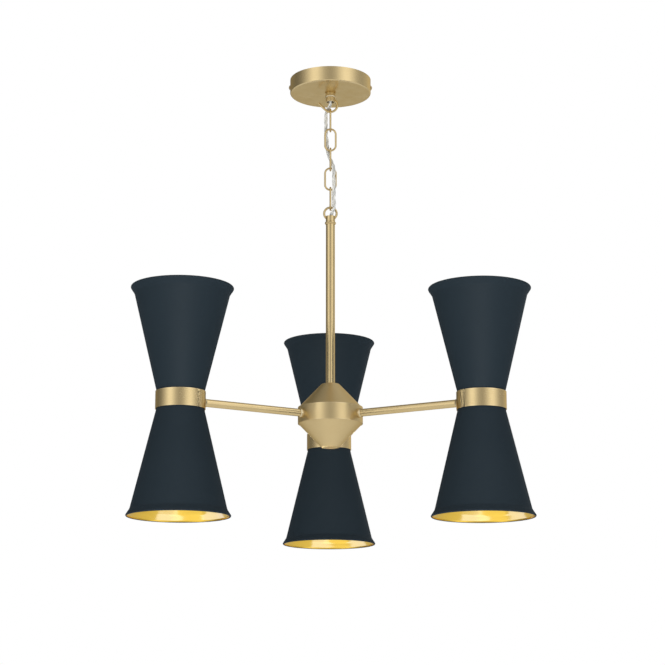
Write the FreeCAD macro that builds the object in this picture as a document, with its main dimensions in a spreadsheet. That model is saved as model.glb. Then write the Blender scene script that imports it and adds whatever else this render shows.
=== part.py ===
"""Pendant lamp: a ceiling rose, a five-link chain woven with its flex, and a stem with three heads.

Millimetres. The origin is the centre of the canopy's ceiling face and +Z points into the ceiling, so the
lamp hangs along -Z. The back head lies on +Y, and the other two in front, to the left and the right.
Each head is a brass collar between two flared shades, one opening upwards and one downwards.
"""
import FreeCAD, Part
import math
import os

import Sketcher
from FreeCAD import Placement, Rotation, Vector

PARTS_FOLDER = "parts"
os.makedirs("parts", exist_ok=True)
doc = FreeCAD.newDocument("PendantLamp")

# Driving dimensions, in millimetres and degrees. Levels are measured from the ceiling, the hub or the head.
SIZES = {
    # Play between round faces that nest, and the gap where two chain wires meet
    "fit_gap": 0.1,
    "contact_gap": 0.2,
    # Canopy
    "canopy_radius": 55.0,
    "canopy_height": 20.0,
    "canopy_wall": 1.0,
    "canopy_rounding": 1.8,
    # Round-headed side screws that hold the canopy on its bracket
    "side_screw_drop": 10.7,
    "side_screw_radius": 2.0,
    "side_screw_length": 9.0,
    "side_screw_play": 0.3,
    "screw_head_radius": 3.5,
    "screw_head_height": 1.8,
    # Ceiling bracket, its two fixing slots and its earth screw
    "strap_width": 16.0,
    "strap_thickness": 1.5,
    "strap_drop": 16.0,
    "slot_spacing": 70.0,
    "slot_length": 14.0,
    "slot_radius": 2.25,
    "earth_screw_offset": 18.0,
    "earth_head_height": 2.0,
    # Terminal block under the bracket
    "block_offset": 17.0,
    "block_length": 14.0,
    "block_width": 24.0,
    "block_height": 11.0,
    "terminal_pitch": 7.5,
    "terminal_screw_radius": 2.2,
    "terminal_screw_height": 1.2,
    # Flex, and the three cores that leave it inside the canopy
    "flex_radius": 2.4,
    "core_radius": 0.75,
    "core_spread": 1.2,
    "core_bend": 4.5,
    # Hexagon nuts, and the cord grip on the hook socket's neck
    "nut_flats": 14.0,
    "nut_height": 3.0,
    "grip_radius": 7.0,
    "grip_height": 6.0,
    # Turned sockets at the two ends of the chain
    "neck_radius": 5.0,
    "neck_rise": 6.5,
    "socket_radius": 6.25,
    "socket_length": 11.4,
    "socket_bore": 3.5,
    "mouth_radius": 4.8,
    "mouth_depth": 4.4,
    "bead_height": 3.6,
    "bead_swell": 1.2,
    "hook_bead_inset": 3.4,
    "loop_bead_inset": 1.9,
    "loop_neck_length": 7.0,
    # Wire hook and wire ring, welded to the sockets' sides
    "hook_wire": 1.5,
    "hook_radius": 9.3,
    "hook_drop": 4.6,
    "hook_start": 225.0,
    "hook_sweep": 181.5,
    "hook_tail": 13.6,
    "ring_radius": 8.4,
    "ring_rise": 4.0,
    # Oval chain links
    "link_wire": 1.25,
    "link_bend": 7.25,
    "link_straight": 16.0,
    # Stem
    "stem_radius": 6.05,
    "stem_wall": 0.95,
    "stem_length": 218.3,
    # Hub: a band between two cones, on a hollow threaded rod
    "hub_radius": 42.65,
    "hub_height": 21.7,
    "hub_wall": 1.0,
    "cone_angle": 46.5,
    "cone_flat": 11.6,
    "cone_rounding": 2.5,
    "skirt_depth": 3.0,
    "rod_radius": 5.0,
    "rod_bore": 3.4,
    "rod_rise": 14.5,
    "rod_foot": 4.5,
    "boss_radius": 9.0,
    "boss_height": 10.0,
    "window_top": 14.0,
    "window_height": 18.0,
    "window_width": 5.6,
    "cable_bend": 14.4,
    "connector_offset": 19.0,
    "connector_length": 10.0,
    "connector_width": 16.0,
    "connector_height": 12.0,
    # Arms
    "arm_reach": 218.0,
    "arm_radius": 5.0,
    "arm_wall": 1.0,
    "arm_tail": 9.0,
    "arm_seat": 7.0,
    "arm_bead_radius": 6.0,
    "arm_bead_length": 4.6,
    "arm_bead_dome": 2.6,
    "arm_bead_edge": 0.5,
    "flare_radius": 6.8,
    "flare_length": 3.2,
    "flare_edge": 0.4,
    "arm_lead_radius": 1.5,
    # Heads: collar, carrier block and shades
    "collar_radius": 31.6,
    "collar_height": 22.4,
    "collar_wall": 0.7,
    "carrier_radius": 13.0,
    "carrier_half": 9.5,
    "stub_radius": 5.0,
    "stub_bore": 3.4,
    "stub_end": 21.0,
    "shade_inset": 0.74,
    "shade_angle": 13.58,
    "shade_wall": 1.0,
    "shade_cone_height": 137.0,
    "lip_angle": 33.0,
    "lip_length": 8.4,
    "lip_bead": 1.3,
    "shade_nut_flats": 17.0,
    # Lampholders and capsule lamps
    "holder_flange_radius": 11.0,
    "holder_flange_height": 6.0,
    "holder_radius": 9.5,
    "holder_height": 22.0,
    "holder_thread_depth": 8.0,
    "holder_recess_depth": 6.0,
    "lamp_base_radius": 5.8,
    "lamp_radius": 8.0,
    "lamp_length": 52.0,
    "lamp_clearance": 0.5,
}

# Bearings of the three heads about the stem, in degrees from +X
HEADS = {"left": 210, "right": 330, "back": 90}

# The flex's route, chosen by hand: in at the cord grip, out of the hook socket's mouth, behind the left of
# the chain, through the third link to its front right, and down into the loop socket
FLEX_ROUTE = [
    (0.0, 0.0, -10.0),
    (0.0, 0.0, -18.5),
    (-0.2, 0.3, -28.0),
    (-1.2, 2.9, -36.6),
    (-4.3, 4.9, -42.7),
    (-5.7, 4.8, -48.8),
    (-6.4, 4.6, -57.0),
    (-6.3, 4.4, -68.0),
    (-5.1, 4.5, -79.0),
    (-4.4, 4.7, -88.6),
    (-4.3, 4.8, -97.4),
    (-2.9, 3.3, -103.9),
    (-0.6, 0.6, -111.0),
    (1.6, -1.8, -118.2),
    (3.7, -3.7, -124.4),
    (4.9, -4.7, -132.2),
    (4.9, -4.8, -141.1),
    (4.5, -4.5, -150.7),
    (4.6, -4.0, -161.0),
    (5.1, -4.1, -171.8),
    (4.8, -4.8, -180.2),
    (3.6, -4.2, -185.8),
    (0.5, -0.6, -193.4),
    (0.0, 0.1, -200.5),
    (0.0, 0.0, -208.0),
    (0.0, 0.0, -215.0),
]
# The flex is cut in the middle of these runs, between one chain joint and the next
FLEX_CUTS = [5, 8, 12, 16, 19]
# Share of the shorter run that an arc takes at each of its ends
ARC_SHARE = 0.45
LINK_COUNT = 5


class Dim:
    """A size that knows both its number and the spreadsheet expression that gives it."""

    def __init__(self, number, text):
        self.number = number
        self.text = text

    def __add__(self, other):
        other = as_dim(other)
        return Dim(self.number + other.number, f"({self.text} + {other.text})")

    def __radd__(self, other):
        return as_dim(other) + self

    def __sub__(self, other):
        other = as_dim(other)
        return Dim(self.number - other.number, f"({self.text} - {other.text})")

    def __rsub__(self, other):
        return as_dim(other) - self

    def __mul__(self, other):
        other = as_dim(other)
        return Dim(self.number * other.number, f"({self.text} * {other.text})")

    def __rmul__(self, other):
        return as_dim(other) * self

    def __truediv__(self, other):
        other = as_dim(other)
        return Dim(self.number / other.number, f"({self.text} / {other.text})")

    def __neg__(self):
        return Dim(-self.number, f"(0 - {self.text})")


def as_dim(value):
    """A plain number as a size."""
    return value if isinstance(value, Dim) else Dim(float(value), f"{float(value):.6f}")


def root(size):
    return Dim(math.sqrt(size.number), f"sqrt({size.text})")


def sine(angle):
    return Dim(math.sin(math.radians(angle.number)), f"sin({angle.text})")


def cosine(angle):
    return Dim(math.cos(math.radians(angle.number)), f"cos({angle.text})")


def tangent(angle):
    return Dim(math.tan(math.radians(angle.number)), f"tan({angle.text})")


def make_sheet():
    """Put the driving dimensions in a spreadsheet and give each back as a size."""
    sheet = doc.addObject("Spreadsheet::Sheet", "Sizes")
    sizes = {}
    for row, (alias, number) in enumerate(SIZES.items(), start=1):
        sheet.set(f"A{row}", alias)
        sheet.set(f"B{row}", str(number))
        sheet.setAlias(f"B{row}", alias)
        sizes[alias] = Dim(number, f"Sizes.{alias}")
    doc.recompute()
    return sizes


S = make_sheet()
ZERO = as_dim(0)
NODES = []


def keep(item, label):
    """Name a finished sub-part and list it for export."""
    item.Label = label
    NODES.append(item)
    return item


def bind(item, name, size):
    """Set a number on an object and bind it to its expression."""
    setattr(item, name, size.number)
    item.setExpression(name, size.text)


def put(item, x=ZERO, y=ZERO, z=ZERO, turn=ZERO, first="rotation(vector(0; 0; 1); 0)"):
    """Place an object: first turned as given, then about +Z, then moved."""
    move = f"vector({as_dim(x).text}; {as_dim(y).text}; {as_dim(z).text})"
    turned = f"rotation(vector(0; 0; 1); {as_dim(turn).text}) * {first}"
    item.setExpression("Placement", f"placement({move}; {turned})")
    return item


def new_body(name):
    return doc.addObject("PartDesign::Body", name)


def new_sketch(body, name, role, offset=None):
    """A sketch on one of the body's own origin planes, moved along that plane's normal if asked."""
    plane = next(item for item in body.Origin.OriginFeatures if item.Role == role)
    sketch = body.newObject("Sketcher::SketchObject", f"{body.Name}_{name}")
    sketch.AttachmentSupport = [(plane, "")]
    sketch.MapMode = "FlatFace"
    if offset is not None:
        sketch.AttachmentOffset = Placement(Vector(0, 0, offset.number), Rotation())
        sketch.setExpression("AttachmentOffset.Base.z", offset.text)
    return sketch


def constrain(sketch, kind, *picks, size=None):
    """Add one constraint, bound to its expression if it has a size."""
    if size is None:
        return sketch.addConstraint(Sketcher.Constraint(kind, *picks))
    index = sketch.addConstraint(Sketcher.Constraint(kind, *picks, size.number))
    sketch.setExpression(f"Constraints[{index}]", size.text)
    return index


def pin(sketch, geometry, end, x, y):
    """Hold one point of a sketch at its distances from the sketch's origin."""
    for kind, size, axis in (("DistanceX", x, -2), ("DistanceY", y, -1)):
        if size.number == 0:
            constrain(sketch, "PointOnObject", geometry, end, axis)
        else:
            constrain(sketch, kind, -1, 1, geometry, end, size=size)


def outline(sketch, corners, bulges=None):
    """Draw a closed outline through corners.

    An edge whose corner index is in bulges is an arc of that radius, counter-clockwise on its way to the
    next corner; a negative radius runs clockwise.
    """
    bulges = bulges or {}
    corners = [(as_dim(x), as_dim(y)) for x, y in corners]
    count = len(corners)
    ends = []
    for index, (x, y) in enumerate(corners):
        start = Vector(x.number, y.number, 0)
        after = corners[(index + 1) % count]
        stop = Vector(after[0].number, after[1].number, 0)
        if index not in bulges:
            sketch.addGeometry(Part.LineSegment(start, stop), False)
            ends.append((1, 2))
            continue
        radius = bulges[index]
        forward = radius.number > 0
        low, high = (start, stop) if forward else (stop, start)
        chord = high - low
        rise = math.sqrt(max(radius.number**2 - (chord.Length / 2) ** 2, 0.0))
        centre = (low + high) / 2 + Vector(-chord.y, chord.x, 0).normalize() * rise
        circle = Part.Circle(centre, Vector(0, 0, 1), abs(radius.number))
        arc = Part.ArcOfCircle(circle, circle.parameter(low), circle.parameter(high))
        sketch.addGeometry(arc, False)
        ends.append((1, 2) if forward else (2, 1))
    for index, (x, y) in enumerate(corners):
        after = (index + 1) % count
        constrain(sketch, "Coincident", index, ends[index][1], after, ends[after][0])
        pin(sketch, index, ends[index][0], x, y)
    for index, radius in bulges.items():
        size = radius if radius.number > 0 else -radius
        constrain(sketch, "Radius", index, size=size)
    return sketch


def circle(sketch, radius, x=ZERO, y=ZERO):
    """Draw one circle, its centre held from the sketch's origin."""
    x, y = as_dim(x), as_dim(y)
    shape = Part.Circle(Vector(x.number, y.number, 0), Vector(0, 0, 1), radius.number)
    index = sketch.addGeometry(shape, False)
    constrain(sketch, "Radius", index, size=radius)
    if x.number == 0 and y.number == 0:
        constrain(sketch, "Coincident", index, 3, -1, 1)
    else:
        pin(sketch, index, 3, x, y)
    return sketch


def slot(sketch, near, far, radius):
    """Draw a round-ended slot along X, from one end's centre to the other's."""
    near_x, far_x, half = near.number, far.number, radius.number
    sketch.addGeometry(Part.LineSegment(Vector(near_x, -half, 0), Vector(far_x, -half, 0)), False)
    sketch.addGeometry(Part.LineSegment(Vector(far_x, half, 0), Vector(near_x, half, 0)), False)
    for x, start in ((far_x, -math.pi / 2), (near_x, math.pi / 2)):
        round_end = Part.Circle(Vector(x, 0, 0), Vector(0, 0, 1), half)
        sketch.addGeometry(Part.ArcOfCircle(round_end, start, start + math.pi), False)
    # lines 0 and 1, then the far arc 2 and the near arc 3, each running on into the next
    for first, after in ((0, 2), (2, 1), (1, 3), (3, 0)):
        constrain(sketch, "Tangent", first, 2, after, 1)
    constrain(sketch, "Radius", 2, size=radius)
    constrain(sketch, "Equal", 2, 3)
    pin(sketch, 2, 3, far, ZERO)
    pin(sketch, 3, 3, near, ZERO)
    return sketch


def revolve(body, sketch, axis="V_Axis"):
    """Turn a sketch about its own vertical or horizontal axis."""
    feature = body.newObject("PartDesign::Revolution", f"{sketch.Name}_turned")
    feature.Profile = sketch
    feature.ReferenceAxis = (sketch, [axis])
    feature.Angle = 360
    return feature


def pad(body, sketch, length, both=False):
    """Pad a sketch along its normal, or evenly to both sides."""
    feature = body.newObject("PartDesign::Pad", f"{sketch.Name}_padded")
    feature.Profile = sketch
    feature.SideType = "Symmetric" if both else "One side"
    bind(feature, "Length", length)
    return feature


def pocket(body, sketch, both=True, reverse=False):
    """Cut a sketch right through, and make sure that it took something away."""
    doc.recompute()
    before = body.Shape.Volume
    feature = body.newObject("PartDesign::Pocket", f"{sketch.Name}_cut")
    feature.Profile = sketch
    feature.Type = "ThroughAll"
    feature.SideType = "Symmetric" if both else "One side"
    feature.Reversed = reverse
    doc.recompute()
    if body.Shape.Volume >= before:
        raise RuntimeError(f"{feature.Name} cuts nothing")
    return feature


def turned_body(name, corners, bulges=None, axis="V_Axis"):
    """A body turned from one outline in its XZ plane."""
    body = new_body(name)
    sketch = outline(new_sketch(body, "profile", "XZ_Plane"), corners, bulges)
    revolve(body, sketch, axis)
    return body


def round_edges(body, radius, at):
    """Round the circular edges of a body that lie at the given radius and level."""
    doc.recompute()
    solid = body.Tip
    wanted = []
    for number, edge in enumerate(solid.Shape.Edges, start=1):
        curve = edge.Curve
        if not isinstance(curve, Part.Circle):
            continue
        near = abs(curve.Radius - at[0].number) + abs(curve.Center.z - at[1].number)
        if near < 1e-4:
            wanted.append(f"Edge{number}")
    feature = body.newObject("PartDesign::Fillet", f"{body.Name}_rounded")
    feature.Base = (solid, wanted)
    bind(feature, "Radius", radius)
    return feature


def tube_corners(inner, outer, low, high):
    """The section of a plain ring or tube."""
    return [(inner, low), (outer, low), (outer, high), (inner, high)]


def cylinder(name, radius, height, z=ZERO):
    """A cylinder that stands on the level z."""
    item = doc.addObject("Part::Cylinder", name)
    bind(item, "Radius", radius)
    bind(item, "Height", height)
    return put(item, z=z)


def cut(name, base, tool):
    item = doc.addObject("Part::Cut", name)
    item.Base = base
    item.Tool = tool
    return item


def fuse(name, pieces):
    item = doc.addObject("Part::MultiFuse", name)
    item.Shapes = pieces
    return item


def group(label, pieces):
    """Keep identical solids together as one sub-part."""
    item = doc.addObject("Part::Compound", label)
    item.Links = pieces
    return keep(item, label)


def hexagon_nut(name, flats, height, hole):
    """A nut that stands on its lower face at the origin."""
    prism = doc.addObject("Part::Prism", f"{name}_prism")
    prism.Polygon = 6
    bind(prism, "Circumradius", flats / root(as_dim(3)))
    bind(prism, "Height", height)
    return cut(name, prism, cylinder(f"{name}_hole", hole, height))


def wire_arc(name, ring, wire, start, sweep, z):
    """Part of a wire ring in the XZ plane, from its start angle anticlockwise through its sweep."""
    item = doc.addObject("Part::Torus", name)
    bind(item, "Radius1", ring)
    bind(item, "Radius2", wire)
    bind(item, "Angle3", as_dim(sweep))
    first = f"rotation(vector(1; 0; 0); 90) * rotation(vector(0; 0; 1); {as_dim(start).text})"
    return put(item, z=z, first=first)


# Levels that the pieces share, all downwards from the ceiling
FLOOR_Z = -S["canopy_height"]
NECK_TOP_Z = FLOOR_Z + S["neck_rise"]
NUT_TOP_Z = FLOOR_Z + S["canopy_wall"] + S["nut_height"]
GRIP_TOP_Z = NUT_TOP_Z + S["grip_height"]
HOOK_MOUTH_Z = FLOOR_Z - S["socket_length"]
HOOK_Z = HOOK_MOUTH_Z - S["hook_drop"]
HOOK_BOTTOM_Z = HOOK_Z - S["hook_radius"]
LINK_SPAN = S["link_straight"] + 2 * S["link_bend"]
LINK_HANG = S["link_wire"] + S["hook_wire"] + S["contact_gap"]
FIRST_LINK_Z = HOOK_BOTTOM_Z + LINK_HANG
LINK_PITCH = LINK_SPAN - 2 * S["link_wire"] - S["contact_gap"]
CHAIN_END_Z = FIRST_LINK_Z - LINK_PITCH * (LINK_COUNT - 1) - LINK_SPAN
RING_Z = CHAIN_END_Z + LINK_HANG - S["ring_radius"]
LOOP_MOUTH_Z = RING_Z - S["ring_rise"]
LOOP_BASE_Z = LOOP_MOUTH_Z - S["socket_length"]
STEM_BOTTOM_Z = LOOP_BASE_Z - S["stem_length"]
BAND_HALF = S["hub_height"] / 2
BAND_BORE = S["hub_radius"] - S["hub_wall"]
SKIRT_RADIUS = BAND_BORE - S["fit_gap"]
CONE_RISE = (SKIRT_RADIUS - S["cone_flat"]) * tangent(S["cone_angle"])
CONE_TOP = BAND_HALF + CONE_RISE
HUB_Z = STEM_BOTTOM_Z - CONE_TOP
NUT_CORNER = S["nut_flats"] / root(as_dim(3))
ARM_START = S["hub_radius"] - S["arm_tail"]
ARM_LENGTH = S["arm_reach"] - S["arm_seat"] - ARM_START
ARM_HOLE = S["arm_radius"] + S["fit_gap"]
COLLAR_HALF = S["collar_height"] / 2
COLLAR_BORE = S["collar_radius"] - S["collar_wall"]
SHADE_SEAT = S["carrier_half"]
HOLDER_SEAT = SHADE_SEAT + S["shade_wall"] + S["nut_height"]


def canopy_cup():
    """Shallow drum with a flat floor, a neck hole and two side screw holes."""
    hole = S["neck_radius"] + S["fit_gap"]
    outer = S["canopy_radius"]
    inner = outer - S["canopy_wall"]
    inside = FLOOR_Z + S["canopy_wall"]
    corners = [
        (hole, FLOOR_Z),
        (outer, FLOOR_Z),
        (outer, ZERO),
        (inner, ZERO),
        (inner, inside),
        (hole, inside),
    ]
    body = turned_body("canopy_cup", corners)
    round_edges(body, S["canopy_rounding"], (outer, FLOOR_Z))
    holes = new_sketch(body, "screw_holes", "YZ_Plane")
    pocket(body, circle(holes, S["side_screw_radius"] + S["side_screw_play"], y=-S["side_screw_drop"]))
    keep(body, "canopy_cup")


def strap_reach():
    """Half the bracket's length: its tabs just clear the canopy's round wall."""
    inner = S["canopy_radius"] - S["canopy_wall"]
    half = S["strap_width"] / 2
    return root(inner * inner - half * half) - S["fit_gap"]


def ceiling_bracket():
    """Strap with two slots for ceiling screws, and a tapped tab for each side screw."""
    reach = strap_reach()
    inner = reach - S["strap_thickness"]
    under = -S["strap_thickness"]
    foot = -S["strap_drop"]
    body = new_body("ceiling_bracket")
    corners = [
        (-reach, foot),
        (-inner, foot),
        (-inner, under),
        (inner, under),
        (inner, foot),
        (reach, foot),
        (reach, ZERO),
        (-reach, ZERO),
    ]
    pad(body, outline(new_sketch(body, "profile", "XZ_Plane"), corners), S["strap_width"], both=True)
    width = S["slot_radius"]
    near = (S["slot_spacing"] - S["slot_length"]) / 2 + width
    far = (S["slot_spacing"] + S["slot_length"]) / 2 - width
    pocket(body, slot(new_sketch(body, "slot_right", "XY_Plane"), near, far, width))
    pocket(body, slot(new_sketch(body, "slot_left", "XY_Plane"), -far, -near, width))
    taps = new_sketch(body, "taps", "YZ_Plane")
    pocket(body, circle(taps, S["side_screw_radius"] + S["fit_gap"], y=-S["side_screw_drop"]))
    earth = new_sketch(body, "earth_tap", "XY_Plane")
    hole = S["side_screw_radius"] + S["fit_gap"]
    pocket(body, circle(earth, hole, x=-S["earth_screw_offset"]))
    keep(body, "ceiling_bracket")


def round_screw(name, head, length):
    """Domed screw along +X with its head's seat at the origin and its shank on the -X side."""
    radius = S["screw_head_radius"]
    shank = S["side_screw_radius"]
    dome = (radius * radius + head * head) / (2 * head)
    corners = [(-length, ZERO), (head, ZERO), (ZERO, radius), (ZERO, shank), (-length, shank)]
    return turned_body(name, corners, {1: dome}, axis="H_Axis")


def canopy_side_screws():
    """One round-headed screw in each side of the canopy."""
    pieces = []
    for turn, name in ((0, "right"), (180, "left")):
        screw = round_screw(f"side_screw_{name}", S["screw_head_height"], S["side_screw_length"])
        seat = S["canopy_radius"] + S["fit_gap"]
        x = seat if turn == 0 else -seat
        pieces.append(put(screw, x=x, z=-S["side_screw_drop"], turn=turn))
    group("canopy_side_screws", pieces)


def socket_corners(neck_end, base, mouth, bead, neck_radius, down):
    """Section of a turned socket: a threaded neck, a body with a bead, and an open mouth.

    down is 1 where the mouth faces downwards and -1 where it faces upwards.
    """
    outer = S["socket_radius"]
    step = mouth + down * S["mouth_depth"]
    half = down * S["bead_height"] / 2
    return [
        (S["socket_bore"], neck_end),
        (S["socket_bore"], step),
        (S["mouth_radius"], step),
        (S["mouth_radius"], mouth),
        (outer, mouth),
        (outer, bead - half),
        (outer, bead + half),
        (outer, base),
        (neck_radius, base),
        (neck_radius, neck_end),
    ]


def bead_bend():
    """Radius of the bead's round face."""
    half = S["bead_height"] / 2
    return (half * half + S["bead_swell"] * S["bead_swell"]) / (2 * S["bead_swell"])


def hook_socket():
    """Socket through the canopy's floor, open below for the flex."""
    bead = FLOOR_Z - S["hook_bead_inset"]
    corners = socket_corners(NECK_TOP_Z, FLOOR_Z, HOOK_MOUTH_Z, bead, S["neck_radius"], 1)
    keep(turned_body("hook_socket", corners, {5: bead_bend()}), "hook_socket")


def loop_socket():
    """The same socket the other way up, its neck screwed into the stem."""
    bead = LOOP_BASE_Z + S["loop_bead_inset"]
    neck_end = LOOP_BASE_Z - S["loop_neck_length"]
    neck = S["stem_radius"] - S["stem_wall"] - S["fit_gap"]
    corners = socket_corners(neck_end, LOOP_BASE_Z, LOOP_MOUTH_Z, bead, neck, -1)
    keep(turned_body("loop_socket", corners, {5: -bead_bend()}), "loop_socket")


def hook_wire():
    """Wire hook welded to the socket's right side, round under it and up to a free end on the left."""
    wire = S["hook_wire"]
    arc = wire_arc("hook_arc", S["hook_radius"], wire, S["hook_start"], S["hook_sweep"], HOOK_Z)
    tail = doc.addObject("Part::Cylinder", "hook_tail")
    bind(tail, "Radius", wire)
    bind(tail, "Height", S["hook_tail"])
    x = S["hook_radius"] * cosine(S["hook_start"])
    z = HOOK_Z + S["hook_radius"] * sine(S["hook_start"])
    # the straight tail leaves the arc along its tangent
    put(tail, x=x, z=z, first=f"rotation(vector(0; 1; 0); 180 - {S['hook_start'].text})")
    height = S["socket_length"]
    weld = cylinder("hook_weld", S["socket_radius"] + S["fit_gap"], height, HOOK_MOUTH_Z)
    keep(cut("hook_wire", fuse("hook_bent", [arc, tail]), weld), "hook_wire")


def loop_ring():
    """Wire ring welded to both sides of the loop socket."""
    whole = wire_arc("ring_whole", S["ring_radius"], S["hook_wire"], 0, 360, RING_Z)
    gap = S["fit_gap"]
    weld = cylinder("ring_weld", S["socket_radius"] + gap, S["socket_length"] + gap, LOOP_BASE_Z)
    keep(cut("loop_ring", whole, weld), "loop_ring")


def hook_locknut():
    """Nut that clamps the hook socket's neck to the canopy's floor."""
    hole = S["neck_radius"] + S["fit_gap"]
    nut = hexagon_nut("hook_locknut", S["nut_flats"], S["nut_height"], hole)
    keep(put(nut, z=FLOOR_Z + S["canopy_wall"]), "hook_locknut")


def cord_grip():
    """Cap on the neck that holds the flex."""
    neck = S["neck_radius"] + S["fit_gap"]
    bore = S["flex_radius"] + S["fit_gap"]
    ledge = NECK_TOP_Z + S["fit_gap"]
    corners = [
        (neck, NUT_TOP_Z),
        (S["grip_radius"], NUT_TOP_Z),
        (S["grip_radius"], GRIP_TOP_Z),
        (bore, GRIP_TOP_Z),
        (bore, ledge),
        (neck, ledge),
    ]
    keep(turned_body("cord_grip", corners), "cord_grip")


def terminal_block():
    """Block on the bracket's underside where the supply and the flex meet."""
    item = doc.addObject("Part::Box", "terminal_block")
    bind(item, "Length", S["block_length"])
    bind(item, "Width", S["block_width"])
    bind(item, "Height", S["block_height"])
    z = -S["strap_thickness"] - S["block_height"]
    put(item, x=S["block_offset"], y=-S["block_width"] / 2, z=z)
    keep(item, "terminal_block")


def terminal_screws():
    """Three screws in the block's underside."""
    x = S["block_offset"] + S["block_length"] / 2
    z = -S["strap_thickness"] - S["block_height"] - S["terminal_screw_height"]
    pieces = []
    for step in (-1, 0, 1):
        name = f"terminal_screw_{step + 2}"
        screw = cylinder(name, S["terminal_screw_radius"], S["terminal_screw_height"])
        pieces.append(put(screw, x=x, y=S["terminal_pitch"] * step, z=z))
    group("terminal_screws", pieces)


def earth_screw():
    """Screw into the bracket from below."""
    screw = round_screw("earth_screw", S["earth_head_height"], S["strap_thickness"])
    first = "rotation(vector(0; 1; 0); 90)"
    put(screw, x=-S["earth_screw_offset"], z=-S["strap_thickness"], first=first)
    keep(screw, "earth_screw")


def canopy_leads():
    """The flex's three cores, each bent once from the cord grip towards the terminal block."""
    pieces = []
    spread = S["core_spread"]
    # each core's place in the flex, as shares of the spread, a third of a turn apart
    for number in range(3):
        angle = as_dim(180 + 120 * number)
        x = spread * cosine(angle)
        y = spread * sine(angle)
        bend = S["core_bend"] + spread / 2 - x
        turn = doc.addObject("Part::Torus", f"core_bend_{number + 1}")
        bind(turn, "Radius1", bend)
        bind(turn, "Radius2", S["core_radius"])
        bind(turn, "Angle3", as_dim(90))
        middle = x + bend
        first = "rotation(vector(1; 0; 0); 90) * rotation(vector(0; 0; 1); 90)"
        put(turn, x=middle, y=y, z=GRIP_TOP_Z, first=first)
        run = doc.addObject("Part::Cylinder", f"core_run_{number + 1}")
        bind(run, "Radius", S["core_radius"])
        bind(run, "Height", S["block_offset"] - middle)
        put(run, x=middle, y=y, z=GRIP_TOP_Z + bend, first="rotation(vector(0; 1; 0); 90)")
        pieces.append(fuse(f"core_{number + 1}", [turn, run]))
    group("canopy_leads", pieces)


def chain_links():
    """Oval wire links, each hanging in the one above and turned a quarter from it."""
    bend = S["link_bend"]
    wire = S["link_wire"]
    for number in range(LINK_COUNT):
        name = f"chain_link_{number + 1}"
        top = -bend
        bottom = -bend - S["link_straight"]
        pieces = [
            wire_arc(f"{name}_top", bend, wire, 0, 180, top),
            wire_arc(f"{name}_bottom", bend, wire, 180, 180, bottom),
        ]
        for side, x in (("near", bend), ("far", -bend)):
            leg = cylinder(f"{name}_{side}", wire, S["link_straight"])
            pieces.append(put(leg, x=x, z=bottom))
        turn = 90 if number % 2 == 0 else 0
        link = fuse(name, pieces)
        keep(put(link, z=FIRST_LINK_Z - LINK_PITCH * number, turn=turn), name)


def stem_tube():
    """Long plain tube between the loop socket and the hub."""
    bore = S["stem_radius"] - S["stem_wall"]
    corners = tube_corners(bore, S["stem_radius"], STEM_BOTTOM_Z, LOOP_BASE_Z)
    keep(turned_body("stem_tube", corners), "stem_tube")


def hub_band():
    """Cylindrical band with a hole for each arm."""
    body = turned_body("hub_band", tube_corners(BAND_BORE, S["hub_radius"], -BAND_HALF, BAND_HALF))
    first = new_sketch(body, "arm_hole", "XZ_Plane")
    hole = pocket(body, circle(first, ARM_HOLE), both=False)
    pattern = body.newObject("PartDesign::PolarPattern", "arm_holes")
    pattern.Originals = [hole]
    pattern.Axis = (first, ["V_Axis"])
    pattern.Angle = 360
    pattern.Occurrences = len(HEADS)
    body.Tip = pattern
    keep(put(body, z=HUB_Z), "hub_band")


def hub_cone(label, side, hole):
    """Cone shell with a flat end and a short skirt inside the band; side is 1 above and -1 below."""
    wall = S["hub_wall"]
    mitre_end = wall * tangent(S["cone_angle"] / 2)
    mitre_skirt = wall * tangent(45 - S["cone_angle"] / 2)
    foot = BAND_HALF - S["skirt_depth"]
    section = [
        (hole, CONE_TOP - wall),
        (S["cone_flat"] - mitre_end, CONE_TOP - wall),
        (SKIRT_RADIUS - wall, BAND_HALF - mitre_skirt),
        (SKIRT_RADIUS - wall, foot),
        (SKIRT_RADIUS, foot),
        (SKIRT_RADIUS, BAND_HALF),
        (S["cone_flat"], CONE_TOP),
        (hole, CONE_TOP),
    ]
    body = turned_body(label, [(x, z * side) for x, z in section])
    round_edges(body, S["cone_rounding"], (S["cone_flat"], CONE_TOP * side))
    keep(put(body, z=HUB_Z), label)


def hub_rod():
    """Hollow threaded rod through the hub, with a side window for the cable."""
    low = S["rod_foot"] - CONE_TOP
    corners = tube_corners(S["rod_bore"], S["rod_radius"], low, CONE_TOP + S["rod_rise"])
    body = turned_body("hub_rod", corners)
    half = S["window_width"] / 2
    bottom = S["window_top"] - S["window_height"]
    window = [(-half, bottom), (half, bottom), (half, S["window_top"]), (-half, S["window_top"])]
    sketch = outline(new_sketch(body, "window", "XZ_Plane"), window)
    pocket(body, sketch, both=False, reverse=True)
    keep(put(body, z=HUB_Z), "hub_rod")


def hub_top_nut():
    """Nut inside the upper cone that pulls the hub against the stem."""
    hole = S["rod_radius"] + S["fit_gap"]
    nut = hexagon_nut("hub_top_nut", S["nut_flats"], S["nut_height"], hole)
    z = HUB_Z + CONE_TOP - S["hub_wall"] - S["nut_height"]
    keep(put(nut, z=z), "hub_top_nut")


def hub_boss():
    """Threaded boss inside the lower cone's flat end."""
    floor = S["hub_wall"] - CONE_TOP
    bore = S["rod_radius"] + S["fit_gap"]
    corners = tube_corners(bore, S["boss_radius"], floor, floor + S["boss_height"])
    keep(put(turned_body("hub_boss", corners), z=HUB_Z), "hub_boss")


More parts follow.
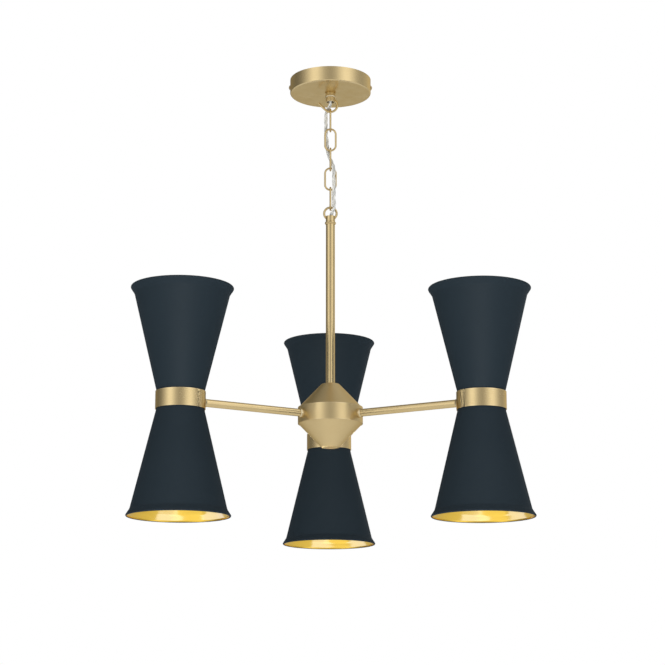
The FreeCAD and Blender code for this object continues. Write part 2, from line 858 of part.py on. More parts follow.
def hub_connector():
    """Block inside the hub that joins the cable to the arms' leads."""
    item = doc.addObject("Part::Box", "hub_connector")
    bind(item, "Length", S["connector_width"])
    bind(item, "Width", S["connector_length"])
    bind(item, "Height", S["connector_height"])
    x = -S["connector_width"] / 2
    y = -S["connector_offset"] - S["connector_length"]
    z = HUB_Z + S["window_top"] - S["cable_bend"] - S["connector_height"] / 2
    keep(put(item, x=x, y=y, z=z), "hub_connector")


def stem_cable():
    """The flex's course inside the stem, out of the rod's window and into the connector."""
    bend = S["cable_bend"]
    radius = S["flex_radius"]
    top = as_dim(FLEX_ROUTE[-1][2])
    low = HUB_Z + S["window_top"]
    drop = cylinder("cable_drop", radius, top - low, low)
    turn = doc.addObject("Part::Torus", "cable_turn")
    bind(turn, "Radius1", bend)
    bind(turn, "Radius2", radius)
    bind(turn, "Angle3", as_dim(90))
    # a quarter turn in the YZ plane, from the axis down and out towards -Y
    first = "rotation(vector(0; 0; 1); 90) * rotation(vector(1; 0; 0); 90) * rotation(vector(0; 0; 1); -90)"
    put(turn, y=-bend, z=low, first=first)
    run = doc.addObject("Part::Cylinder", "cable_run")
    bind(run, "Radius", radius)
    bind(run, "Height", S["connector_offset"] - bend)
    put(run, y=-bend, z=low - bend, first="rotation(vector(1; 0; 0); 90)")
    keep(fuse("stem_cable", [drop, turn, run]), "stem_cable")


def along_arm(item, bearing, distance):
    """Place an object that was made along +X on the arm of one bearing."""
    angle = as_dim(bearing)
    return put(item, x=distance * cosine(angle), y=distance * sine(angle), z=HUB_Z, turn=angle)


def arm_tubes():
    """One straight tube to each head."""
    for head, bearing in HEADS.items():
        name = f"arm_tube_{head}"
        body = new_body(name)
        sketch = circle(new_sketch(body, "section", "YZ_Plane"), S["arm_radius"])
        pad(body, circle(sketch, S["arm_radius"] - S["arm_wall"]), ARM_LENGTH)
        keep(along_arm(body, bearing, ARM_START), name)


def arm_beads():
    """Domed bush against the band, round the root of each arm."""
    pieces = []
    base = S["hub_radius"]
    end = base + S["arm_bead_length"]
    start = BAND_BORE
    dome = end - S["arm_bead_dome"]
    rim = ARM_HOLE + S["arm_bead_edge"]
    fall = S["arm_bead_radius"] - rim
    bulge = (fall * fall + S["arm_bead_dome"] * S["arm_bead_dome"]) / (2 * fall)
    for head, bearing in HEADS.items():
        corners = [
            (start, ARM_HOLE),
            (end, ARM_HOLE),
            (end, rim),
            (dome, S["arm_bead_radius"]),
            (start, S["arm_bead_radius"]),
        ]
        bush = turned_body(f"arm_bush_{head}", corners, {2: bulge}, axis="H_Axis")
        radius = base + S["fit_gap"]
        band = cylinder(f"arm_bush_seat_{head}", radius, S["hub_height"], -BAND_HALF)
        pieces.append(put(cut(f"arm_bead_{head}", bush, band), z=HUB_Z, turn=bearing))
    group("arm_beads", pieces)


def arm_flares():
    """Small cone where each arm meets its collar."""
    pieces = []
    wall = S["arm_reach"] - S["collar_radius"]
    tip = wall - S["flare_length"]
    back = wall + S["flare_length"]
    for head, bearing in HEADS.items():
        corners = [
            (tip, ARM_HOLE),
            (back, ARM_HOLE),
            (back, S["flare_radius"]),
            (wall, S["flare_radius"]),
            (tip, ARM_HOLE + S["flare_edge"]),
        ]
        cone = turned_body(f"arm_cone_{head}", corners, axis="H_Axis")
        radius = S["collar_radius"] + S["fit_gap"]
        tool = cylinder(f"arm_cone_seat_{head}", radius, S["collar_height"])
        put(tool, x=S["arm_reach"], z=-COLLAR_HALF)
        pieces.append(put(cut(f"arm_flare_{head}", cone, tool), z=HUB_Z, turn=bearing))
    group("arm_flares", pieces)


def seat_in_bore(bore):
    """How far out a hexagon nut's flat face sits inside a round bore."""
    return root(bore * bore - NUT_CORNER * NUT_CORNER) - S["fit_gap"]


def arm_nuts():
    """A nut on each end of each arm, inside the band and inside the collar."""
    # turns a nut's axis onto +X, with two of its flats level
    first = "rotation(vector(1; 1; 1); 120)"
    pieces = []
    hub_seat = seat_in_bore(BAND_BORE) - S["nut_height"]
    head_seat = S["arm_reach"] - seat_in_bore(COLLAR_BORE)
    for head, bearing in HEADS.items():
        for name, distance in (("hub", hub_seat), ("head", head_seat)):
            nut = hexagon_nut(f"arm_nut_{name}_{head}", S["nut_flats"], S["nut_height"], ARM_HOLE)
            angle = as_dim(bearing)
            x = distance * cosine(angle)
            y = distance * sine(angle)
            pieces.append(put(nut, x=x, y=y, z=HUB_Z, turn=angle, first=first))
    group("arm_nuts", pieces)


def arm_leads():
    """A lead lying in the bottom of each arm."""
    drop = S["arm_radius"] - S["arm_wall"] - S["arm_lead_radius"] - S["fit_gap"]
    pieces = []
    for head, bearing in HEADS.items():
        lead = doc.addObject("Part::Cylinder", f"arm_lead_{head}")
        bind(lead, "Radius", S["arm_lead_radius"])
        bind(lead, "Height", ARM_LENGTH)
        angle = as_dim(bearing)
        x = ARM_START * cosine(angle)
        y = ARM_START * sine(angle)
        first = "rotation(vector(0; 1; 0); 90)"
        pieces.append(put(lead, x=x, y=y, z=HUB_Z - drop, turn=angle, first=first))
    group("arm_leads", pieces)


def collars():
    """Brass ring round the waist of each head, with a hole for the arm."""
    for head, bearing in HEADS.items():
        name = f"collar_{head}"
        corners = tube_corners(COLLAR_BORE, S["collar_radius"], -COLLAR_HALF, COLLAR_HALF)
        body = turned_body(name, corners)
        pocket(body, circle(new_sketch(body, "arm_hole", "YZ_Plane"), ARM_HOLE), both=False)
        keep(along_arm(body, bearing, S["arm_reach"]), name)


def carriers():
    """Block on the arm's end, with a hollow stub up and down for the lampholders."""
    for head, bearing in HEADS.items():
        name = f"carrier_{head}"
        block = S["carrier_half"]
        corners = [
            (S["stub_bore"], -S["stub_end"]),
            (S["stub_radius"], -S["stub_end"]),
            (S["stub_radius"], -block),
            (S["carrier_radius"], -block),
            (S["carrier_radius"], block),
            (S["stub_radius"], block),
            (S["stub_radius"], S["stub_end"]),
            (S["stub_bore"], S["stub_end"]),
        ]
        body = turned_body(name, corners)
        pocket(body, circle(new_sketch(body, "lead_way", "YZ_Plane"), S["stub_bore"]), both=False)
        seat = new_sketch(body, "arm_seat", "YZ_Plane", S["fit_gap"] - S["arm_seat"])
        pocket(body, circle(seat, ARM_HOLE), both=False)
        keep(along_arm(body, bearing, S["arm_reach"]), name)


def shade(name, bearing, side):
    """Spun shade: a slow cone from its base to a wider lip that ends in a rolled bead.

    side is 1 for a shade that opens upwards and -1 for one that opens downwards.
    """
    wall = S["shade_wall"]
    hole = S["stub_radius"] + S["fit_gap"]
    slope = tangent(S["shade_angle"])
    waist = COLLAR_BORE - S["shade_inset"]
    base = waist - slope * (COLLAR_HALF - SHADE_SEAT)
    cone_end = waist + slope * (S["shade_cone_height"] - COLLAR_HALF)
    across = cosine(S["lip_angle"])
    along = sine(S["lip_angle"])
    lip_x = cone_end + S["lip_length"] * along
    lip_z = S["shade_cone_height"] + S["lip_length"] * across
    skin = wall / cosine(S["shade_angle"])
    inside = SHADE_SEAT + wall
    # the inner skin's corner between cone and lip, where the two walls' inner lines meet
    half_turn = (S["lip_angle"] - S["shade_angle"]) / 2
    lean = (S["lip_angle"] + S["shade_angle"]) / 2
    mitre = wall / cosine(half_turn)
    section = [
        (hole, SHADE_SEAT),
        (base, SHADE_SEAT),
        (cone_end, S["shade_cone_height"]),
        (lip_x, lip_z),
        (lip_x - wall * across, lip_z + wall * along),
        (cone_end - mitre * cosine(lean), S["shade_cone_height"] + mitre * sine(lean)),
        (base + slope * wall - skin, inside),
        (hole, inside),
    ]
    body = turned_body(name, [(x, z * side) for x, z in section])
    ring = new_sketch(body, "lip_bead", "XZ_Plane")
    bead = S["lip_bead"]
    circle(ring, bead, x=lip_x - bead * across, y=(lip_z + bead * along) * side)
    revolve(body, ring)
    keep(along_arm(body, bearing, S["arm_reach"]), name)


def shades():
    for head, bearing in HEADS.items():
        shade(f"shade_upper_{head}", bearing, 1)
        shade(f"shade_lower_{head}", bearing, -1)


def at_head(item, bearing, level):
    """Place an upright object on a head's axis."""
    angle = as_dim(bearing)
    reach = S["arm_reach"]
    return put(item, x=reach * cosine(angle), y=reach * sine(angle), z=HUB_Z + level, turn=angle)


def shade_nuts():
    """Nut that clamps each shade on the carrier's stub."""
    pieces = []
    level = SHADE_SEAT + S["shade_wall"]
    hole = S["stub_radius"] + S["fit_gap"]
    for head, bearing in HEADS.items():
        for side, low in (("upper", level), ("lower", -level - S["nut_height"])):
            name = f"shade_nut_{side}_{head}"
            nut = hexagon_nut(name, S["shade_nut_flats"], S["nut_height"], hole)
            pieces.append(at_head(nut, bearing, low))
    group("shade_nuts", pieces)


def holder_corners(side):
    """Section of a lampholder: a flange, a threaded seat below and a lamp recess on top."""
    top = HOLDER_SEAT + S["holder_height"]
    step = HOLDER_SEAT + S["holder_flange_height"]
    thread = S["stub_radius"] + S["fit_gap"]
    recess = S["lamp_base_radius"] + S["fit_gap"]
    section = [
        (ZERO, HOLDER_SEAT + S["holder_thread_depth"]),
        (thread, HOLDER_SEAT + S["holder_thread_depth"]),
        (thread, HOLDER_SEAT),
        (S["holder_flange_radius"], HOLDER_SEAT),
        (S["holder_flange_radius"], step),
        (S["holder_radius"], step),
        (S["holder_radius"], top),
        (recess, top),
        (recess, top - S["holder_recess_depth"]),
        (ZERO, top - S["holder_recess_depth"]),
    ]
    return [(x, z * side) for x, z in section]


def lamp_corners(side):
    """Section of a capsule lamp: a narrow base and a round-ended bulb."""
    holder_top = HOLDER_SEAT + S["holder_height"]
    base = holder_top - S["holder_recess_depth"]
    glass = holder_top + S["lamp_clearance"]
    tip = base + S["lamp_length"]
    section = [
        (ZERO, base),
        (S["lamp_base_radius"], base),
        (S["lamp_base_radius"], glass),
        (S["lamp_radius"], glass),
        (S["lamp_radius"], tip - S["lamp_radius"]),
        (ZERO, tip),
    ]
    return [(x, z * side) for x, z in section]


def lampholders_and_lamps():
    """A lampholder and a capsule lamp up and down on each head."""
    for head, bearing in HEADS.items():
        holders = []
        lamps = []
        for name, side in (("upper", 1), ("lower", -1)):
            holder = turned_body(f"lampholder_{name}_{head}", holder_corners(side))
            holders.append(at_head(holder, bearing, ZERO))
            dome = {4: S["lamp_radius"] * side}
            lamp = turned_body(f"lamp_{name}_{head}", lamp_corners(side), dome)
            lamps.append(at_head(lamp, bearing, ZERO))
        group(f"lampholders_{head}", holders)
        group(f"lamps_{head}", lamps)


def tangent_arc(before, corner, after):
    """The arc that rounds a corner of the flex's route."""
    back = before - corner
    ahead = after - corner
    reach = ARC_SHARE * min(back.Length, ahead.Length)
    half_turn = (math.pi - back.getAngle(ahead)) / 2
    back = back.normalize()
    ahead = ahead.normalize()
    radius = reach / math.tan(half_turn)
    inward = (back + ahead).normalize()
    centre = corner + inward * (radius / math.cos(half_turn))
    return corner + back * reach, centre - inward * radius, corner + ahead * reach, radius


def flex_pieces():
    """The free flex: straight runs joined by tangent arcs, cut between the chain's joints."""
    points = [Vector(*point) for point in FLEX_ROUTE]
    radii = []
    arcs = {}
    for index in range(1, len(points) - 1):
        start, middle, stop, radius = tangent_arc(*points[index - 1 : index + 2])
        arcs[index] = (start, middle, stop)
        radii.append(radius)
    first = [0] + FLEX_CUTS
    last = FLEX_CUTS + [len(points) - 2]
    halfway = {run: (points[run] + points[run + 1]) / 2 for run in FLEX_CUTS}
    total = 0.0
    for number, (run_in, run_out) in enumerate(zip(first, last), start=1):
        here = halfway.get(run_in, points[0])
        end = halfway.get(run_out, points[-1])
        edges = []
        for index in range(run_in + 1, run_out + 1):
            start, middle, stop = arcs[index]
            edges.append(Part.LineSegment(here, start).toShape())
            edges.append(Part.Arc(start, middle, stop).toShape())
            here = stop
        edges.append(Part.LineSegment(here, end).toShape())
        path = Part.Wire(edges)
        radius = S["flex_radius"].number
        origin = edges[0].valueAt(edges[0].FirstParameter)
        ring = Part.Circle(origin, edges[0].tangentAt(edges[0].FirstParameter), radius)
        solid = path.makePipeShell([Part.Wire(ring.toShape())], True, False)
        expected = math.pi * radius**2 * path.Length
        if abs(solid.Volume - expected) > 0.01 * expected:
            raise RuntimeError(f"flex_{number} has the wrong volume")
        total += path.Length
        item = doc.addObject("Part::Feature", f"flex_{number}")
        item.Shape = solid
        item.Placement = Placement()
        keep(item, f"flex_{number}")
    print("flex length", round(total, 1), "least bend radius", round(min(radii), 1))
    print("flex bend radii", [round(radius, 1) for radius in radii])


def write_parts():
    """Check every object and sub-part, then write one file per sub-part."""
    doc.recompute()
    for item in doc.Objects:
        if "Invalid" in item.State or "Error" in item.State:
            raise RuntimeError(f"{item.Name} is in state {item.State}")
    for item in NODES:
        if item.Shape.isNull() or not item.Shape.isValid() or not item.Shape.Solids:
            raise RuntimeError(f"{item.Label} has no valid solid")
    for item in NODES:
        item.Shape.exportStep(os.path.join(PARTS_FOLDER, f"{item.Label}.step"))
    print("sub-parts", len(NODES), "solids", sum(len(item.Shape.Solids) for item in NODES))


canopy_cup()
ceiling_bracket()
canopy_side_screws()
hook_socket()
hook_wire()
hook_locknut()
cord_grip()
terminal_block()
terminal_screws()
earth_screw()
canopy_leads()
chain_links()
loop_socket()
loop_ring()
stem_tube()
stem_cable()
hub_cone("hub_upper_cone", 1, S["rod_radius"] + S["fit_gap"])
hub_band()
hub_cone("hub_lower_cone", -1, ZERO)
hub_rod()
hub_top_nut()
hub_boss()
hub_connector()
arm_tubes()
arm_beads()
arm_flares()
arm_nuts()
arm_leads()
collars()
carriers()
shades()
shade_nuts()
lampholders_and_lamps()
flex_pieces()
write_parts()
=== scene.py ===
"""Looks of a pendant lamp: canopy, oval chain with its woven flex, stem, hub, arms and paired shades."""

import logging
import math
from collections.abc import Callable, Iterator
from contextlib import contextmanager
from dataclasses import dataclass, field
from enum import Enum
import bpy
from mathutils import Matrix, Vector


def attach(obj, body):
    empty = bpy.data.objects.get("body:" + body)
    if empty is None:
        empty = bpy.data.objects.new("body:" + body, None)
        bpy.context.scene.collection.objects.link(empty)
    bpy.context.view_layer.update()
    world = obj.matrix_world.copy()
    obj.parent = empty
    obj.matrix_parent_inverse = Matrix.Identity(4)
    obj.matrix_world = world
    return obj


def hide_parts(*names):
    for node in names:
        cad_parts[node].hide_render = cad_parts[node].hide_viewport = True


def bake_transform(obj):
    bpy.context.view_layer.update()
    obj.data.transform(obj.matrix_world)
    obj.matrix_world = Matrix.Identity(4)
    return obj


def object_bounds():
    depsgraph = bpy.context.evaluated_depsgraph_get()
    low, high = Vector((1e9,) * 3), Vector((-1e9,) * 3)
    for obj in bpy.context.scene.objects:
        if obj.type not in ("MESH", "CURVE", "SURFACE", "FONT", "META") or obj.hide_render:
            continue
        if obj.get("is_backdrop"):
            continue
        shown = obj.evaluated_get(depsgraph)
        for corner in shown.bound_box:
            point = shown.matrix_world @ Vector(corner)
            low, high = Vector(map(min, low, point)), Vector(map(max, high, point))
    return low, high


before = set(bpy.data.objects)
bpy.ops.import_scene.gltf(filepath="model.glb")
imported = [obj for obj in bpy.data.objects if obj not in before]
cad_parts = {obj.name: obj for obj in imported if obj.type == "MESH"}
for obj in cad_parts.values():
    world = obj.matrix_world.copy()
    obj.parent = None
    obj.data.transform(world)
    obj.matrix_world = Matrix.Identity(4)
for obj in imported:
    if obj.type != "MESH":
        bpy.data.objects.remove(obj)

from inspect import signature
from typing import ClassVar

import bmesh
import bpy
from mathutils import Matrix, Vector

LOG = logging.getLogger("pendant_lamp")
CAD_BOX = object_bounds()

Material = bpy.types.Material
Mesh = bpy.types.Mesh
Node = bpy.types.Node
Piece = bpy.types.Object
Socket = bpy.types.NodeSocket
Tree = bpy.types.NodeTree
Pair = tuple[float, float]
Triple = tuple[float, float, float]
Inputs = dict[str | int, object]

MM = 0.001
ORIGIN = (0.0, 0.0, 0.0)
WHITE = (1.0, 1.0, 1.0)
FULL_TURN = 2 * math.pi
QUARTER_TURN = math.pi / 2
HUB_Z = -465.61 * MM
WELD = 1e-7
HAIR = 1e-6
WEAR_WIDTH = 1.2 * MM
SMOOTH_ANGLE = math.radians(32)


class Body(Enum):
    """The CAD bodies, from the ceiling down."""

    ROSE = "ceiling_rose"
    LINK_1 = "chain_link_1"
    LINK_2 = "chain_link_2"
    LINK_3 = "chain_link_3"
    LINK_4 = "chain_link_4"
    LINK_5 = "chain_link_5"
    LAMP = "lamp"


class Slot(Enum):
    """The record's slots of the new pieces."""

    BRASS = "brass"
    NAVY = "navy_paint"
    GOLD = "gold_lining"
    ZINC = "zinc_steel"
    PLASTIC = "white_plastic"
    LEAD = "lead_sheath"
    FLEX = "flex_sheath"


class Bearing(Enum):
    """Bearings of the three heads about the stem, in degrees from +X."""

    LEFT = 210
    RIGHT = 330
    BACK = 90


class Mouth(Enum):
    """The way a shade opens."""

    UPPER = 1
    LOWER = -1


class Grain(Enum):
    """The way a metal was finished."""

    TURNED = "turned"
    DRAWN = "drawn"
    EVEN = "even"


class Graph:
    """A node tree under construction."""

    def __init__(self, tree: Tree) -> None:
        """Keep the tree that nodes are added to."""
        self.tree = tree

    def feed(self, node: Node, inputs: Inputs) -> None:
        """Link sockets into a node's inputs, or set the inputs to plain values.

        Args:
            node: The node.
            inputs: A socket, a list of sockets or a value, by input name or index.
        """
        for name, value in inputs.items():
            socket = node.inputs[name]
            for source in value if isinstance(value, list) else [value]:
                if isinstance(source, Socket):
                    self.tree.links.new(source, socket)
                else:
                    socket.default_value = (*source, 1.0) if socket.type == "RGBA" else source

    def add(self, kind: str, inputs: Inputs | None = None, **settings: object) -> Node:
        """Add one node.

        Args:
            kind: The node's type name.
            inputs: What its inputs are fed.
            **settings: Properties to set on it first.

        Returns:
            The new node.
        """
        node = self.tree.nodes.new(kind)
        for name, value in settings.items():
            setattr(node, name, value)
        self.feed(node, inputs or {})
        return node

    def make(self, kind: str, inputs: Inputs | None = None, output: str = "", **settings: object) -> Socket:
        """Add one node for one of its results.

        Args:
            kind: The node's type name.
            inputs: What its inputs are fed.
            output: The result's name, where it isn't the first one in use.
            **settings: Properties to set on the node first.

        Returns:
            The output socket.
        """
        outputs = self.add(kind, inputs, **settings).outputs
        return outputs[output] if output else next(item for item in outputs if item.enabled)

    def math(self, operation: str, *values: object, clamp: bool = False) -> Socket:
        """The result of one number operation, kept from 0 to 1 if it is clamped."""
        return self.make("ShaderNodeMath", dict(enumerate(values)), operation=operation, use_clamp=clamp)

    def vector(self, operation: str, *values: object) -> Socket:
        """The result of one vector operation, a number where the operation gives one."""
        return self.make("ShaderNodeVectorMath", dict(enumerate(values)), operation=operation)

    def scaled(self, vector: object, factor: object) -> Socket:
        """A vector times a number."""
        return self.make("ShaderNodeVectorMath", {0: vector, "Scale": factor}, operation="SCALE")

    def combined(self, x: object, y: object, z: object) -> Socket:
        """A vector made of three numbers."""
        return self.make("ShaderNodeCombineXYZ", {0: x, 1: y, 2: z})

    def parts(self, vector: object) -> list[Socket]:
        """A vector's three numbers."""
        return list(self.add("ShaderNodeSeparateXYZ", {0: vector}).outputs)

    def noise(self, vector: object, scale: float, detail: float = 2.0, rough: float = 0.5) -> Socket:
        """Smooth noise from 0 to 1, so many cells per unit, with octaves of detail of some weight."""
        inputs = {"Vector": vector, "Scale": scale, "Detail": detail, "Roughness": rough}
        return self.make("ShaderNodeTexNoise", inputs)

    def spread(self, value: object, old: Pair, new: Pair) -> Socket:
        """A number moved from one range to another, and kept inside it."""
        names = ("Value", "From Min", "From Max", "To Min", "To Max")
        return self.make("ShaderNodeMapRange", dict(zip(names, (value, *old, *new))))

    def blend(self, factor: object, first: object, second: object) -> Socket:
        """A mix of two colours, with the second colour's share."""
        return self.make("ShaderNodeMix", {"Factor": factor, "A": first, "B": second}, data_type="RGBA")

    def place(self, centre: Triple = ORIGIN) -> Socket:
        """Object coordinates measured from a piece's own centre in the row frame."""
        where = self.make("ShaderNodeTexCoord", output="Object")
        return self.make("ShaderNodeMapping", {"Vector": where, "Location": tuple(-part for part in centre)})

    def attribute(self, name: str) -> Socket:
        """A number that the piece's points carry."""
        return self.make("ShaderNodeAttribute", output="Fac", attribute_name=name)

    def bump(self, height: object, depth: float, strength: float) -> Socket:
        """The normal of a relief whose height is from 0 to 1, and its depth in metres."""
        return self.make("ShaderNodeBump", {"Height": height, "Distance": depth, "Strength": strength})

    def shape_of(self, helper: Socket) -> Socket:
        """The geometry of a helper object."""
        return self.make("GeometryNodeObjectInfo", {"Object": helper}, "Geometry")

    def block(self, size: Socket) -> Socket:
        """A box about the origin."""
        return self.make("GeometryNodeMeshCube", {"Size": size})

    def moved(self, geometry: Socket, offset: Socket) -> Socket:
        """A geometry moved by a vector."""
        return self.make("GeometryNodeTransform", {"Geometry": geometry, "Translation": offset})

    def row(self, count: object, first: Socket, step: Socket) -> Socket:
        """So many points in a row."""
        inputs = {"Count": count, "Start Location": first, "Offset": step}
        return self.make("GeometryNodeMeshLine", inputs, mode="OFFSET")

    def joined(self, operation: str, inputs: Inputs) -> Socket:
        """Two meshes made one, or one cut from the other."""
        return self.make("GeometryNodeMeshBoolean", inputs, operation=operation, solver="EXACT")

    def ring(self, sides: int, radius: Socket) -> Socket:
        """A circle as a curve."""
        return self.make("GeometryNodeCurvePrimitiveCircle", {"Resolution": sides, "Radius": radius})

    def noted(self, geometry: Socket, name: str, value: Socket) -> Socket:
        """A geometry whose points carry a number under a name."""
        inputs = {"Geometry": geometry, "Name": name, "Value": value}
        return self.make("GeometryNodeStoreNamedAttribute", inputs, data_type="FLOAT", domain="POINT")

    def girth(self, sides: int, radius: Socket) -> Socket:
        """A ring to sweep along a path, whose points know as "around" how far round they are."""
        return self.noted(self.ring(sides, radius), "around", self.make("GeometryNodeSplineParameter"))


class ShaderGroups:
    """Effects that several finishes use, each built once as a node group."""

    def __init__(self) -> None:
        """Build every group."""
        rings, lines = {"Fineness": 2600.0, "Streaks": 7.0}, {"Fineness": 2600.0, "Streaks": 14.0}
        self.turned = self._group("turned_grain", "Grain", self._turned, Place=None, **rings)
        self.drawn = self._group("drawn_grain", "Grain", self._drawn, Place=None, Axis=None, **lines)
        self.patina = self._group("patina", "Mask", self._patina, Place=None, Size=28.0)
        self.peel = self._group("orange_peel", "Height", self._peel, Place=None, Size=900.0)
        self.rim = self._group("rim_wear", "Mask", self._rim, Place=None, Level=0.0, Width=0.001)
        self.dust = self._group("settled_dust", "Mask", self._dust, Place=None, Amount=0.5)

    @staticmethod
    def _group(name: str, output: str, effect: Callable[..., Socket], **inputs: float | None) -> Tree:
        """Build one group.

        Args:
            name: Its name.
            output: Its one output's name.
            effect: Makes the output from the group's graph and its input sockets.
            **inputs: Each input's default, or None for a place or a direction.

        Returns:
            The group.
        """
        tree = bpy.data.node_groups.new(name, "ShaderNodeTree")
        for title, value in inputs.items():
            kind = "NodeSocketVector" if value is None else "NodeSocketFloat"
            item = tree.interface.new_socket(name=title, in_out="INPUT", socket_type=kind)
            if value is not None:
                item.default_value = value
        tree.interface.new_socket(name=output, in_out="OUTPUT", socket_type="NodeSocketFloat")
        graph = Graph(tree)
        entry = graph.add("NodeGroupInput").outputs
        graph.add("NodeGroupOutput", {output: effect(graph, *(entry[title] for title in inputs))})
        return tree

    @staticmethod
    def _turned(graph: Graph, place: Socket, fineness: Socket, streaks: Socket) -> Socket:
        """Fine rings round an upright axis, as a lathe and an abrasive pad leave them.

        Args:
            graph: The group's graph.
            place: Where the pattern is read.
            fineness: Rings per metre.
            streaks: How often they change on the way round.

        Returns:
            The grain, from 0 to 1.
        """
        x, y, z = graph.parts(place)
        flat = graph.combined(x, y, 0.0)
        heading = graph.scaled(graph.vector("NORMALIZE", flat), streaks)
        # the rings also run over a level face, where only the distance from the axis changes
        lean = 0.41
        slanted = graph.math("MULTIPLY_ADD", graph.vector("LENGTH", flat), lean, z)
        climb = graph.combined(0.0, 0.0, graph.math("MULTIPLY", slanted, fineness))
        return graph.noise(graph.vector("ADD", heading, climb), 1.0, 3.0, 0.65)

    @staticmethod
    def _drawn(graph: Graph, place: Socket, axis: Socket, fineness: Socket, streaks: Socket) -> Socket:
        """Fine lines along an axis, as on drawn and brushed tube.

        Args:
            graph: The group's graph.
            place: Where the pattern is read.
            axis: The lines' direction.
            fineness: Lines per metre.
            streaks: How often they change along the axis.

        Returns:
            The grain, from 0 to 1.
        """
        line = graph.scaled(axis, graph.vector("DOT_PRODUCT", place, axis))
        across = graph.scaled(graph.vector("SUBTRACT", place, line), fineness)
        return graph.noise(graph.vector("ADD", across, graph.scaled(line, streaks)), 1.0, 3.0, 0.65)

    @staticmethod
    def _patina(graph: Graph, place: Socket, size: Socket) -> Socket:
        """Slow, cloudy unevenness with a few handling marks.

        Args:
            graph: The group's graph.
            place: Where the pattern is read.
            size: Clouds per metre.

        Returns:
            The mask.
        """
        where = graph.scaled(place, size)
        cloud = graph.spread(graph.noise(where, 1.0, 2.0, 0.45), (0.25, 0.75), (0.0, 0.85))
        smear = graph.spread(graph.noise(where, 5.0, 2.0, 0.5), (0.6, 0.75), (0.0, 0.22))
        return graph.math("ADD", cloud, smear, clamp=True)

    @staticmethod
    def _peel(graph: Graph, place: Socket, size: Socket) -> Socket:
        """The soft orange-peel skin of a sprayed coat.

        Args:
            graph: The group's graph.
            place: Where the pattern is read.
            size: Bumps per metre.

        Returns:
            The height.
        """
        where = graph.scaled(place, size)
        fine = graph.math("MULTIPLY", graph.noise(where, 2.7, 1.0, 0.4), 0.3)
        return graph.math("ADD", graph.noise(where, 1.0, 1.0, 0.4), fine)

    @staticmethod
    def _rim(graph: Graph, place: Socket, level: Socket, width: Socket) -> Socket:
        """Where a part is rubbed, near a level, broken up by noise.

        Args:
            graph: The group's graph.
            place: Where the pattern is read.
            level: The edge's height.
            width: How far the wear reaches.

        Returns:
            The mask.
        """
        gap = graph.math("ABSOLUTE", graph.math("SUBTRACT", graph.parts(place)[2], level))
        near = graph.math("SUBTRACT", 1.0, graph.math("DIVIDE", gap, width), clamp=True)
        broken = graph.spread(graph.noise(place, 70.0), (0.3, 0.7), (0.3, 0.75))
        return graph.math("MULTIPLY", near, broken)

    @staticmethod
    def _dust(graph: Graph, place: Socket, amount: Socket) -> Socket:
        """A thin film on what faces up.

        Args:
            graph: The group's graph.
            place: Where the pattern is read.
            amount: Its thickest share.

        Returns:
            The mask.
        """
        facing = graph.parts(graph.make("ShaderNodeNewGeometry", output="Normal"))[2]
        lying = graph.spread(facing, (0.2, 0.95), (0.0, 1.0))
        patchy = graph.spread(graph.noise(place, 90.0, 4.0, 0.6), (0.3, 0.75), (0.25, 1.0))
        return graph.math("MULTIPLY", graph.math("MULTIPLY", lying, patchy), amount)


def new_material(name: str) -> tuple[Material, Graph, Node]:
    """Make an empty material.

    Args:
        name: Its name.

    Returns:
        The material, its graph and its principled shader.
    """
    material = bpy.data.materials.new(name)
    material.use_nodes = True
    return material, Graph(material.node_tree), material.node_tree.nodes["Principled BSDF"]


@dataclass(frozen=True)
class Finish:
    """What every finish shares: a material with one principled shader, patterned from a piece's centre."""

    groups: ClassVar[ShaderGroups]
    name: str
    centre: Triple = field(default=ORIGIN, kw_only=True)

    def build(self) -> Material:
        """Build the material.

        Returns:
            The material.
        """
        material, graph, shader = new_material(self.name)
        graph.feed(shader, self.look(graph, graph.place(self.centre)))
        return material

    def look(self, graph: Graph, place: Socket) -> Inputs:
        """What a finish feeds its shader, which each one says for itself.

        Args:
            graph: The material's graph.
            place: Where its pattern is read.

        Returns:
            The shader's inputs.
        """
        raise NotImplementedError

    def effect(self, graph: Graph, name: str, **inputs: object) -> Socket:
        """The output of one of the shared groups, placed in a material with its own values."""
        return graph.make("ShaderNodeGroup", inputs, node_tree=getattr(self.groups, name))


